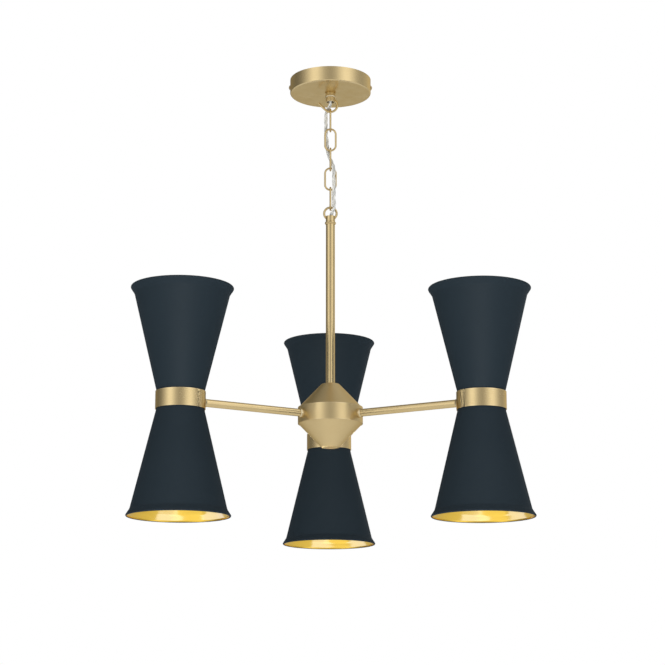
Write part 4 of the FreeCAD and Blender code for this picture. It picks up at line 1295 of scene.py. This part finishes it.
@dataclass
class Flex:
    """The free flex: two sheathed cores and a bare earth wire, twisted together and woven along the chain."""

    core_radius: float = 1.25 * MM
    earth_radius: float = 0.9 * MM
    earth_offset: float = 1.75 * MM
    core_sides: int = 20
    earth_sides: int = 12
    lay: float = 31.0 * MM
    diameter: float = 4.8 * MM
    blend_reach: float = 7.0 * MM
    route_mm: tuple[Triple, ...] = (
        (0.0, 0.0, -10.0), (0.0, 0.0, -18.5), (-0.2, 0.3, -28.0), (-1.2, 2.9, -36.6), (-4.3, 4.9, -42.7),
        (-5.7, 4.8, -48.8), (-6.4, 4.6, -57.0), (-6.3, 4.4, -68.0), (-5.1, 4.5, -79.0), (-4.4, 4.7, -88.6),
        (-4.3, 4.8, -97.4), (-2.9, 3.3, -103.9), (-0.6, 0.6, -111.0), (1.6, -1.8, -118.2),
        (3.7, -3.7, -124.4), (4.9, -4.7, -132.2), (4.9, -4.8, -141.1), (4.5, -4.5, -150.7),
        (4.6, -4.0, -161.0), (5.1, -4.1, -171.8), (4.8, -4.8, -180.2), (3.6, -4.2, -185.8),
        (0.5, -0.6, -193.4), (0.0, 0.1, -200.5), (0.0, 0.0, -208.0), (0.0, 0.0, -215.0),
    )
    cut_levels_mm: tuple[float, ...] = (-52.9, -83.8, -114.6, -145.9, -176.0)
    joint_levels_mm: tuple[float, ...] = (-45.3, -72.85, -100.65, -128.45, -156.25, -184.05)

    def build(self, shop: Workshop) -> None:
        """Build the six lengths, one across each joint of the chain.

        Args:
            shop: The workshop.
        """
        line = smooth_line(self.route_mm)
        lengths = [0.0]
        for before, after in zip(line, line[1:]):
            lengths.append(lengths[-1] + (after - before).length)
        inner_cuts = [self._length_at(line, lengths, level * MM) for level in self.cut_levels_mm]
        cuts = [0.0, *inner_cuts, lengths[-1]]
        sheath = FlexSheath("flex_sheath").build()
        tinned = FlexSheath("earth_sheath", (0.72, 0.72, 0.68), (0.5, 0.52, 0.52)).build()
        bodies = [body.value for body in Body]
        for number, (start, end) in enumerate(zip(cuts, cuts[1:])):
            piece = shop.run(
                f"flex_run_{number + 1}", self.twisted_flex, self, route=traced("flex_line", line),
                start=start, end=end, core_finish=sheath, earth_finish=tinned,
            )
            level = self.joint_levels_mm[number] * MM
            high = (0.0, 0.0, level + self.blend_reach)
            low = (0.0, 0.0, level - self.blend_reach)
            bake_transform(piece)
            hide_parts(f"flex_{number + 1}")
            path = [tuple(point) for point, at in zip(line, lengths) if start - HAIR <= at <= end + HAIR]
            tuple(path[0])
            LOG.info("%s is %.1f mm long", piece.name, (end - start) / MM)

    @staticmethod
    def _length_at(line: list[Vector], lengths: list[float], level: float) -> float:
        """How far along the line it first falls to a level.

        Args:
            line: The line's points.
            lengths: How far along each point is.
            level: The height.

        Returns:
            The length there.
        """
        index = next(index for index, point in enumerate(line) if point.z <= level)
        above, below = line[index - 1].z, line[index].z
        share = (above - level) / (above - below)
        return lengths[index - 1] + share * (lengths[index] - lengths[index - 1])

    @staticmethod
    def twisted_flex(
        graph: Graph, route: Socket, core_radius: Socket, core_sides: Socket, earth_radius: Socket,
        earth_sides: Socket, earth_offset: Socket, lay: Socket, start: Socket, end: Socket,
        core_finish: Socket, earth_finish: Socket,
    ) -> Socket:
        """The twisted cores along a route, kept between two lengths.

        Args:
            graph: The tree's graph.
            route: The route's points.
            core_radius: The sheathed cores' radius.
            core_sides: How many sides they have.
            earth_radius: The earth wire's radius.
            earth_sides: How many sides it has.
            earth_offset: How far off the middle it lies.
            lay: The length of one turn.
            start: How far along the route it starts.
            end: How far along the route it ends.
            core_finish: The sheathed cores' finish.
            earth_finish: The earth wire's finish.

        Returns:
            The cores.
        """
        curve = graph.make("GeometryNodeMeshToCurve", {0: graph.shape_of(route)})
        length = graph.make("GeometryNodeSplineParameter", output="Length")
        tangent = graph.make("GeometryNodeInputTangent")
        # a direction square to the route that never flips, turned once every lay
        side = graph.combined(1.0, 0.0, 0.0)
        lean = graph.vector("DOT_PRODUCT", side, tangent)
        side = graph.vector("NORMALIZE", graph.vector("SUBTRACT", side, graph.scaled(tangent, lean)))
        angle = graph.math("MULTIPLY", graph.math("DIVIDE", length, lay), FULL_TURN)
        inputs = {"Vector": side, "Axis": tangent, "Angle": angle}
        turned = graph.make("ShaderNodeVectorRotate", inputs, rotation_type="AXIS_ANGLE")
        curve = graph.make("GeometryNodeSetCurveNormal", {"Curve": curve, "Normal": turned}, mode="FREE")
        curve = graph.noted(curve, "along", length)
        swept = []
        for radius, x, y, sides, finish in (
            (core_radius, core_radius, 0.0, core_sides, core_finish),
            (core_radius, graph.math("MULTIPLY", core_radius, -1.0), 0.0, core_sides, core_finish),
            (earth_radius, 0.0, earth_offset, earth_sides, earth_finish),
        ):
            profile = graph.moved(graph.girth(sides, radius), graph.combined(x, y, 0.0))
            tube = graph.make("GeometryNodeCurveToMesh", {"Curve": curve, "Profile Curve": profile})
            swept.append(graph.make("GeometryNodeSetMaterial", {"Geometry": tube, "Material": finish}))
        cores = graph.make("GeometryNodeJoinGeometry", {0: swept})
        along = graph.make("GeometryNodeInputNamedAttribute", {"Name": "along"}, data_type="FLOAT")
        before, after = graph.math("LESS_THAN", along, start), graph.math("GREATER_THAN", along, end)
        inputs = {"Geometry": cores, "Selection": graph.math("MAXIMUM", before, after)}
        return graph.make("GeometryNodeDeleteGeometry", inputs, domain="FACE", mode="ALL")


@dataclass
class Chain:
    """Five oval links of brass wire, each turned a quarter from the one above."""

    count: int = 5
    top_centre: float = -57.6 * MM
    pitch: float = 27.8 * MM
    wire: float = 1.25 * MM
    bend: float = 7.25 * MM
    straight: float = 16.0 * MM
    wire_sides: int = 28
    bend_sides: int = 72

    def build(self, shop: Workshop) -> None:
        """Build the links.

        Args:
            shop: The workshop.
        """
        for number in range(self.count):
            centre = (0.0, 0.0, self.top_centre - self.pitch * number)
            brass = SatinBrass(f"brass_link_{number + 1}", Grain.EVEN, centre=centre, fineness=900.0).build()
            link = shop.run(f"oval_link_{number + 1}", self.hanging_links, self, keep=number, finish=brass)
            node = f"chain_link_{number + 1}"
            declare(link, Body(node), Slot.BRASS, node)

    @staticmethod
    def hanging_links(
        graph: Graph, count: Socket, keep: Socket, top_centre: Socket, pitch: Socket, wire: Socket,
        bend: Socket, straight: Socket, wire_sides: Socket, bend_sides: Socket,
    ) -> Socket:
        """A hanging row of links, of which one is kept.

        Args:
            graph: The tree's graph.
            count: How many there are.
            keep: The number of the one that is kept.
            top_centre: The level of the first one's centre.
            pitch: From each centre down to the next.
            wire: The wire's radius.
            bend: The radius of its ends.
            straight: The length of its legs.
            wire_sides: How many sides the wire has.
            bend_sides: How many sides both ends together have.

        Returns:
            The link.
        """
        ring = graph.ring(bend_sides, bend)
        x, y, _ = graph.parts(graph.make("GeometryNodeInputPosition"))
        # the halves of a circle moved apart make the straight legs
        side = graph.math("SIGN", graph.math("SNAP", y, HAIR))
        apart = graph.math("MULTIPLY", side, graph.math("MULTIPLY", straight, 0.5))
        upright = graph.combined(x, 0.0, graph.math("ADD", y, apart))
        oval = graph.make("GeometryNodeSetPosition", {"Geometry": ring, "Position": upright})
        inputs = {"Curve": oval, "Profile Curve": graph.ring(wire_sides, wire)}
        down = graph.combined(0.0, 0.0, graph.math("MULTIPLY", pitch, -1.0))
        index = graph.make("GeometryNodeInputIndex")
        even = graph.math("SUBTRACT", 1.0, graph.math("MODULO", index, 2.0))
        return graph.make("GeometryNodeInstanceOnPoints", {
            "Points": graph.row(count, graph.combined(0.0, 0.0, top_centre), down),
            "Selection": graph.math("COMPARE", index, keep, 0.1),
            "Instance": graph.make("GeometryNodeCurveToMesh", inputs),
            "Rotation": graph.combined(0.0, 0.0, graph.math("MULTIPLY", even, QUARTER_TURN)),
        })


@dataclass(frozen=True)
class ScrewRow:
    """A row of slotted screws, and the CAD node that it replaces."""

    name: str
    node: str
    slot: Slot
    finish: Material
    section: list[Pair]
    head_top: float
    first: Triple
    count: int = 1
    step: Triple = ORIGIN
    turn: Triple = (0.0, QUARTER_TURN, 0.0)
    turn_step: Triple = ORIGIN
    slot_width: float = 0.9 * MM
    slot_depth: float = 0.9 * MM
    slot_length: float = 30.0 * MM
    seed: int = 7
    most_spin: float = 1.2
    steps: int = 40
    centre: Triple = ORIGIN


@dataclass
class Canopy:
    """The ceiling rose: drum, hook and its socket, bracket and terminals."""

    height: float = 20.0 * MM
    screw_seat: float = 55.1 * MM
    screw_level: float = -10.7 * MM
    head_radius: float = 3.5 * MM
    head_height: float = 1.8 * MM
    head_steps: int = 10
    shank_radius: float = 2.0 * MM
    shank_length: float = 9.0 * MM
    terminal_at: Triple = (24.0 * MM, -7.5 * MM, -12.5 * MM)
    terminal_pitch: float = 7.5 * MM
    terminal_radius: float = 2.2 * MM
    terminal_height: float = 1.2 * MM
    terminal_edge: float = 0.2 * MM
    earth_at: Triple = (-18.0 * MM, 0.0, -1.5 * MM)
    earth_height: float = 2.0 * MM
    earth_length: float = 1.4 * MM

    def build(self, shop: Workshop) -> None:
        """Dress the rose and build its screws.

        Args:
            shop: The workshop.
        """
        # a paler copy of the brass for the hook socket: painted light, which tones down the warm
        # brass-in-brass reflections between it and the canopy
        pale = {"colour": (0.76, 0.66, 0.46), "deep": (0.7, 0.6, 0.39), "matt": 0.28}
        dress(SatinBrass("brass_canopy", worn_levels=(-self.height,)), "canopy_cup")
        dress(SatinBrass("brass_hook_socket", **pale), "hook_socket")
        dress(SatinBrass("brass_hook", Grain.EVEN, fineness=900.0), "hook_wire")
        zinc = dress(ZincPlate("zinc_plate"), "ceiling_bracket", "hook_locknut")
        dress(Moulding("grip_plastic"), "cord_grip")
        brass = SatinBrass("brass_side_screws", Grain.EVEN, fineness=1400.0).build()
        self._screws(shop, ScrewRow(
            "side_screws", "canopy_side_screws", Slot.BRASS, brass,
            self._dome(self.head_height, self.shank_length), self.head_height,
            (self.screw_seat, 0.0, self.screw_level), 2, (-2 * self.screw_seat, 0.0, 0.0), ORIGIN,
            (0.0, 0.0, math.pi),
        ))
        self._screws(shop, ScrewRow(
            "earth_terminal", "earth_screw", Slot.ZINC, zinc,
            self._dome(self.earth_height, self.earth_length), self.earth_height, self.earth_at,
        ))
        self._screws(shop, ScrewRow(
            "block_terminals", "terminal_screws", Slot.ZINC, zinc, self._cheese(), self.terminal_height,
            self.terminal_at, 3, (0.0, self.terminal_pitch, 0.0),
        ))

    def _dome(self, height: float, length: float) -> list[Pair]:
        """Half section of a round-headed screw, upright, its head's seat at height 0.

        Args:
            height: The head's height.
            length: The shank's length.

        Returns:
            Distances from the axis and heights.
        """
        bow = (self.head_radius**2 + height**2) / (2 * height)
        reach = math.asin(min(1.0, self.head_radius / bow))
        angles = [reach * step / self.head_steps for step in range(self.head_steps + 1)]
        head = [(bow * math.sin(angle), height - bow + bow * math.cos(angle)) for angle in angles]
        return [(0.0, -length), *head, (self.shank_radius, 0.0), (self.shank_radius, -length)]

    def _cheese(self) -> list[Pair]:
        """Half section of a flat terminal screw, upright."""
        edge, radius, height = self.terminal_edge, self.terminal_radius, self.terminal_height
        return [(0.0, 0.0), (0.0, height), (radius - edge, height), (radius, height - edge), (radius, 0.0)]

    @staticmethod
    def _screws(shop: Workshop, row: ScrewRow) -> None:
        """Build a row of slotted screws.

        Args:
            shop: The workshop.
            row: The row.
        """
        outline = traced(f"{row.name}_outline", [(x, 0.0, z) for x, z in row.section])
        blank = shop.run(f"{row.name}_blank", shop.turned_shell, row, outline=outline, finish=row.finish)
        # the blank stands upright, and the row wants it along +X
        blank.data.transform(Matrix.Rotation(QUARTER_TURN, 4, "Y"))
        screws = shop.run(row.name, shop.slotted_screws, row, blank=blank, finish=row.finish)
        declare(screws, Body.ROSE, row.slot, row.node)


@dataclass
class Wiring:
    """What joins the flex to the supply in the canopy: its three inner leads and a row of terminals."""

    lead_radius: float = 0.75 * MM
    lead_sides: int = 16
    foot_mm: float = -10.0
    block_face: float = 17.0 * MM
    block_length: float = 14.0 * MM
    block_width: float = 24.0 * MM
    block_height: float = 11.0 * MM
    block_top: float = -1.5 * MM
    pitch: float = 7.5 * MM
    pole_width: float = 6.6 * MM
    spine_height: float = 4.0 * MM
    spine_share: float = 0.8
    poles: int = 3
    entry_radius: float = 1.7 * MM
    entry_sides: int = 24
    entry_reach: float = 1.2
    edge: float = 0.35 * MM
    # faces that lean less than the first angle are one, and an edge sharper than the second is rounded
    flat_angle: float = math.radians(2)
    corner_angle: float = math.radians(60)
    # each lead's finish, its place in the flex, and how far up it turns to the terminals, in millimetres
    leads_mm: tuple[tuple[str, LeadSheath, float, float, float], ...] = (
        ("live_lead", LeadSheath("brown_sheath", (0.13, 0.052, 0.022), (0.13, 0.052, 0.022)), -1.2, 0.0, 6.3),
        ("neutral_lead", LeadSheath("blue_sheath", (0.03, 0.13, 0.42), (0.03, 0.13, 0.42)), 0.6, -1.039, 4.5),
        ("earth_lead", LeadSheath("striped_sheath", (0.05, 0.25, 0.07), (0.72, 0.6, 0.06)), 0.6, 1.039, 4.5),
    )

    def build(self, shop: Workshop) -> None:
        """Build the leads and the terminals.

        Args:
            shop: The workshop.
        """
        foot, face = self.foot_mm, self.block_face / MM
        for name, sheath, x, y, climb in self.leads_mm:
            top, half = foot + climb, climb / 2
            bend = ((x, y, foot + half), (x, y, top), (x + half, y, top))
            line = smooth_line(((x, y, foot), *bend, (face, y, top)))
            route = traced(f"{name}_line", line)
            lead = shop.run(name, self.sheathed_lead, self, route=route, finish=sheath.build())
            declare(lead, Body.ROSE, Slot.LEAD, "canopy_leads")
        middle = (self.block_face + self.block_length / 2, 0.0, self.block_top - self.block_height / 2)
        plastic = Moulding("terminal_plastic").build()
        block = shop.run("terminal_row", self.terminal_row, self, middle=middle, finish=plastic)
        self._soften(block.data)
        declare(block, Body.ROSE, Slot.PLASTIC, "terminal_block")

    @staticmethod
    def sheathed_lead(graph: Graph, route: Socket, lead_radius: Socket, lead_sides: Socket) -> Socket:
        """A round lead along a route, closed at both ends.

        Args:
            graph: The tree's graph.
            route: The route's points.
            lead_radius: The lead's radius.
            lead_sides: How many sides it has.

        Returns:
            The lead.
        """
        curve = graph.make("GeometryNodeMeshToCurve", {0: graph.shape_of(route)})
        inputs = {"Curve": curve, "Profile Curve": graph.girth(lead_sides, lead_radius), "Fill Caps": True}
        return graph.make("GeometryNodeCurveToMesh", inputs)

    @staticmethod
    def terminal_row(
        graph: Graph, block_length: Socket, block_width: Socket, block_height: Socket,
        spine_height: Socket, spine_share: Socket, poles: Socket, pole_width: Socket, pitch: Socket,
        entry_radius: Socket, entry_sides: Socket, entry_reach: Socket, middle: Socket,
    ) -> Socket:
        """A row of poles on a spine, each with a hole through it for its wires.

        Args:
            graph: The tree's graph.
            block_length: The block's length along the wires.
            block_width: Its width across them.
            block_height: Its height.
            spine_height: The spine's height.
            spine_share: The spine's share of the block's length.
            poles: How many poles there are.
            pole_width: A pole's width.
            pitch: From one pole to the next.
            entry_radius: A hole's radius.
            entry_sides: How many sides a hole has.
            entry_reach: The length of what cuts a hole, as a share of the block's.
            middle: The block's place.

        Returns:
            The block.
        """
        pole = graph.block(graph.combined(block_length, pole_width, block_height))
        entry = graph.make("GeometryNodeMeshCylinder", {
            "Vertices": entry_sides,
            "Radius": entry_radius,
            "Depth": graph.math("MULTIPLY", block_length, entry_reach),
        })
        lying = graph.make("GeometryNodeTransform", {"Geometry": entry, "Rotation": (0.0, QUARTER_TURN, 0.0)})
        first = graph.combined(0.0, graph.math("MULTIPLY", pitch, -1.0), 0.0)
        row = graph.row(poles, first, graph.combined(0.0, pitch, 0.0))
        placed = [
            graph.make("GeometryNodeInstanceOnPoints", {"Points": row, "Instance": shape})
            for shape in (pole, lying)
        ]
        solid, entries = (graph.make("GeometryNodeRealizeInstances", {0: shapes}) for shapes in placed)
        size = graph.combined(graph.math("MULTIPLY", block_length, spine_share), block_width, spine_height)
        drop = graph.math("MULTIPLY", graph.math("SUBTRACT", block_height, spine_height), 0.5)
        spine = graph.moved(graph.block(size), graph.combined(0.0, 0.0, drop))
        body = graph.joined("UNION", {"Mesh 2": [solid, spine]})
        return graph.moved(graph.joined("DIFFERENCE", {"Mesh 1": body, "Mesh 2": entries}), middle)

    def _soften(self, mesh: Mesh) -> None:
        """Round the block's own corners a little, as a mould does.

        Args:
            mesh: The block's mesh.
        """
        with opened(mesh) as model:
            flat = {"angle_limit": self.flat_angle, "verts": model.verts, "edges": model.edges}
            bmesh.ops.dissolve_limit(model, **flat)
            corners = [
                edge for edge in model.edges
                if edge.is_manifold and edge.calc_length() > 3 * self.edge
                and edge.calc_face_angle(0.0) > self.corner_angle
            ]
            bmesh.ops.bevel(
                model, geom=corners, offset=self.edge, offset_type="OFFSET", segments=2, profile=0.5,
                affect="EDGES", clamp_overlap=True,
            )
        smooth(mesh)


@dataclass
class Stem:
    """The loop socket with its ring, the stem and the hub."""

    socket_z: float = -200.0 * MM
    band_half: float = 10.85 * MM

    def build(self) -> None:
        """Dress the stem and the hub."""
        centre = (0.0, 0.0, HUB_Z)
        edges = (self.band_half, -self.band_half)
        # a paler copy of the brass for the arms' beads and flares: painted light, which tones down their warm
        # reflections in the hub band
        pale = {"colour": (0.77, 0.65, 0.42), "deep": (0.71, 0.59, 0.36), "matt": 0.28}
        cream = {"colour": (0.74, 0.72, 0.66), "shade": (0.66, 0.65, 0.6), "roughness": (0.29, 0.41)}
        dress(SatinBrass("brass_loop_socket", centre=(0.0, 0.0, self.socket_z)), "loop_socket")
        dress(SatinBrass("brass_ring", Grain.EVEN, fineness=900.0), "loop_ring")
        dress(SatinBrass("brass_stem", Grain.DRAWN, fineness=1500.0, relief=0.04), "stem_tube")
        dress(SatinBrass("brass_hub", centre=centre, worn_levels=edges, matt=0.27), "hub_band")
        dress(SatinBrass("brass_cones", centre=centre, matt=0.32), "hub_upper_cone", "hub_lower_cone")
        dress(
            ZincPlate("zinc_plate_hub"), "hub_rod", "hub_top_nut", "hub_boss", "arm_nuts", "shade_nuts"
        )
        dress(Moulding("connector_plastic"), "hub_connector")
        dress(Moulding("lead_sheath", **cream), "stem_cable", "arm_leads")
        dress(SatinBrass("brass_bushes", centre=centre, fineness=1800.0, **pale), "arm_beads", "arm_flares")


@dataclass
class Head:
    """One head: its arm, collar, two shades with gold linings, lampholders and lamps."""

    bearing: Bearing
    reach: float = 218.0 * MM
    collar_half: float = 11.2 * MM
    hole: float = 5.1 * MM
    seat: float = 9.5 * MM
    wall: float = 1.0 * MM
    waist: float = 30.16 * MM
    cone_angle: float = math.radians(13.58)
    cone_top: float = 137.0 * MM
    cone_shares: Triple = (0.25, 0.5, 0.75)
    lip_angle: float = math.radians(33.0)
    lip_length: float = 8.4 * MM
    bend_radius: float = 9.0 * MM
    bend_steps: int = 8
    bead: float = 1.3 * MM
    # the turn past the outer skin's side at which the rolled edge starts, in degrees
    bead_start: float = 12.0
    bead_steps: int = 9
    split_gap: float = 0.02 * MM
    # the rolled edge's inner side from its crest down to the lip, as depths from the outer skin and reaches
    # past the lip's end; the coat ends at the first point of the second row, where the gold begins
    coated_edge: tuple[Pair, ...] = ((2.11, 0.95), (2.1, 0.78), (1.98, 0.53))
    gilt_edge: tuple[Pair, ...] = ((1.86, 0.28), (1.55, -0.36), (1.24, -1.0), (1.04, -1.46), (1.0, -1.95))
    steps: int = 128
    centre: Triple = field(init=False)
    # the lip's end on the outer skin, and the ways along the lip and square out of it
    tip: Vector = field(init=False)
    along: Vector = field(init=False)
    out: Vector = field(init=False)
    shells: list[Piece] = field(init=False, default_factory=list)
    linings: list[Piece] = field(init=False, default_factory=list)

    def __post_init__(self) -> None:
        """Work out where the head and its shades' lips are."""
        angle = math.radians(self.bearing.value)
        self.centre = (self.reach * math.cos(angle), self.reach * math.sin(angle), HUB_Z)
        self.along = Vector((math.sin(self.lip_angle), math.cos(self.lip_angle)))
        self.out = Vector((self.along.y, -self.along.x))
        self.tip = Vector((self._cone_radius(), self.cone_top)) + self.along * self.lip_length

    def build(self, shop: Workshop) -> None:
        """Build the head.

        Args:
            shop: The workshop.
        """
        word = self.bearing.name.lower()
        angle = math.radians(self.bearing.value)
        drawn = {"axis": (math.cos(angle), math.sin(angle), 0.0), "fineness": 1500.0, "relief": 0.04}
        glazed = {"colour": (0.83, 0.82, 0.78), "shade": (0.78, 0.76, 0.71), "roughness": (0.24, 0.36)}
        worn = {"centre": self.centre, "worn_levels": (self.collar_half, -self.collar_half)}
        dress(SatinBrass(f"brass_arm_{word}", Grain.DRAWN, centre=self.centre, **drawn), f"arm_tube_{word}")
        dress(SatinBrass(f"brass_collar_{word}", **worn), f"collar_{word}")
        dress(ZincPlate(f"zinc_carrier_{word}"), f"carrier_{word}")
        dress(Moulding(f"ceramic_{word}", gloss=0.5, texture=400.0, **glazed), f"lampholders_{word}")
        dress(OpalGlass(f"opal_{word}"), f"lamps_{word}")
        for mouth in Mouth:
            self._shade(shop, mouth)

    def _cone_radius(self) -> float:
        """The outer skin's distance from the axis where the cone would meet the lip."""
        return self.waist + math.tan(self.cone_angle) * (self.cone_top - self.collar_half)

    def _wall_line(self, depth: float) -> list[Pair]:
        """The shade's section line at one depth inside its outer skin, from its base to the lip's end.

        Args:
            depth: How far inside the outer skin.

        Returns:
            Distances from the axis and heights, for a shade that opens upwards.
        """
        sine, cosine = math.sin(self.cone_angle), math.cos(self.cone_angle)
        turn = self.lip_angle - self.cone_angle
        # the spun bend between cone and lip, tangent to both
        tangent = self.bend_radius * math.tan(turn / 2)
        start = Vector((self._cone_radius() - tangent * sine, self.cone_top - tangent * cosine))
        square = Vector((cosine, -sine))
        middle = start + self.bend_radius * square
        drop = math.tan(self.cone_angle) * (self.collar_half - self.seat - depth)
        base = Vector((self.waist - drop - depth / cosine, self.seat + depth))
        foot = start - depth * square
        line = [base, *(base.lerp(foot, share) for share in self.cone_shares)]
        for step in range(self.bend_steps + 1):
            angle = self.cone_angle + turn * step / self.bend_steps
            line.append(middle - Vector((math.cos(angle), -math.sin(angle))) * (self.bend_radius + depth))
        line.append(self.tip - self.out * depth)
        return [tuple(point) for point in line]

    def _rolled_edge(self) -> list[Pair]:
        """The rolled edge's outer side, from the skin to its crest.

        Returns:
            Distances from the axis and heights.
        """
        crest = 90.0 + math.degrees(self.lip_angle)
        centre = self.tip - self.out * self.bead
        points = []
        for step in range(self.bead_steps + 1):
            angle = math.radians(self.bead_start + (crest - self.bead_start) * step / self.bead_steps)
            points.append(centre + self.bead * (self.out * math.cos(angle) + self.along * math.sin(angle)))
        return [tuple(point) for point in points]

    def _edge(self, places: tuple[Pair, ...]) -> list[Pair]:
        """Points by the lip's end, from their depths and reaches in millimetres."""
        return [tuple(self.tip + (self.along * reach - self.out * depth) * MM) for depth, reach in places]

    def _shade(self, shop: Workshop, mouth: Mouth) -> None:
        """One shade: its navy shell and the gold lining inside it.

        Args:
            shop: The workshop.
            mouth: Which way it opens.
        """
        # the two meet in the middle of the wall, a hair apart
        coat_depth = self.wall / 2 - self.split_gap / 2
        gilt_depth = self.wall / 2 + self.split_gap / 2
        gilt = self._edge(self.gilt_edge)
        shell = [
            (self.hole, self.seat),
            *self._wall_line(0.0),
            *self._rolled_edge(),
            *self._edge(self.coated_edge),
            gilt[0],
            *reversed(self._wall_line(coat_depth)),
            (self.hole, self.seat + coat_depth),
        ]
        lining = [
            (self.hole, self.seat + gilt_depth),
            *self._wall_line(gilt_depth),
            *gilt,
            *reversed(self._wall_line(self.wall)[:-1]),
            (self.hole, self.seat + self.wall),
        ]
        word = f"{mouth.name}_{self.bearing.name}".lower()
        lip = mouth.value * (self.tip.y - self.out.y * self.bead + self.bead)
        coat = NavyCoat(f"navy_{word}", lip, centre=self.centre)
        gold = PolishedGold(f"gold_{word}", lip, centre=self.centre)
        for name, points, finish, slot, kept in (
            (f"shade_shell_{word}", shell, coat, Slot.NAVY, self.shells),
            (f"shade_lining_{word}", lining, gold, Slot.GOLD, self.linings),
        ):
            outline = traced(f"{name}_outline", [(x, 0.0, z * mouth.value) for x, z in points])
            piece = shop.run(name, shop.turned_shell, self, outline=outline, finish=finish.build())
            declare(piece, Body.LAMP, slot, f"shade_{word}")
            kept.append(piece)


def write_sizes() -> None:
    """Work out the CAD model's box and the dressed model's box."""
    boxes = {
        name: [list(corner) for corner in box] for name, box in (("cad", CAD_BOX), ("visual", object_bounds()))
    }


def main() -> None:
    """Build the studio and the lamp, piece by piece."""
    logging.basicConfig(level=logging.INFO, format="%(message)s")
    studio = Studio()
    studio.build()
    Finish.groups = ShaderGroups()
    shop = Workshop()
    Flex().build(shop)
    Chain().build(shop)
    Canopy().build(shop)
    Wiring().build(shop)
    Stem().build()
    heads = [Head(bearing) for bearing in Bearing]
    for head in heads:
        head.build(shop)
    studio.light_shades(heads)
    studio.light_brass()
    write_sizes()


if __name__ == "__main__":
    main()
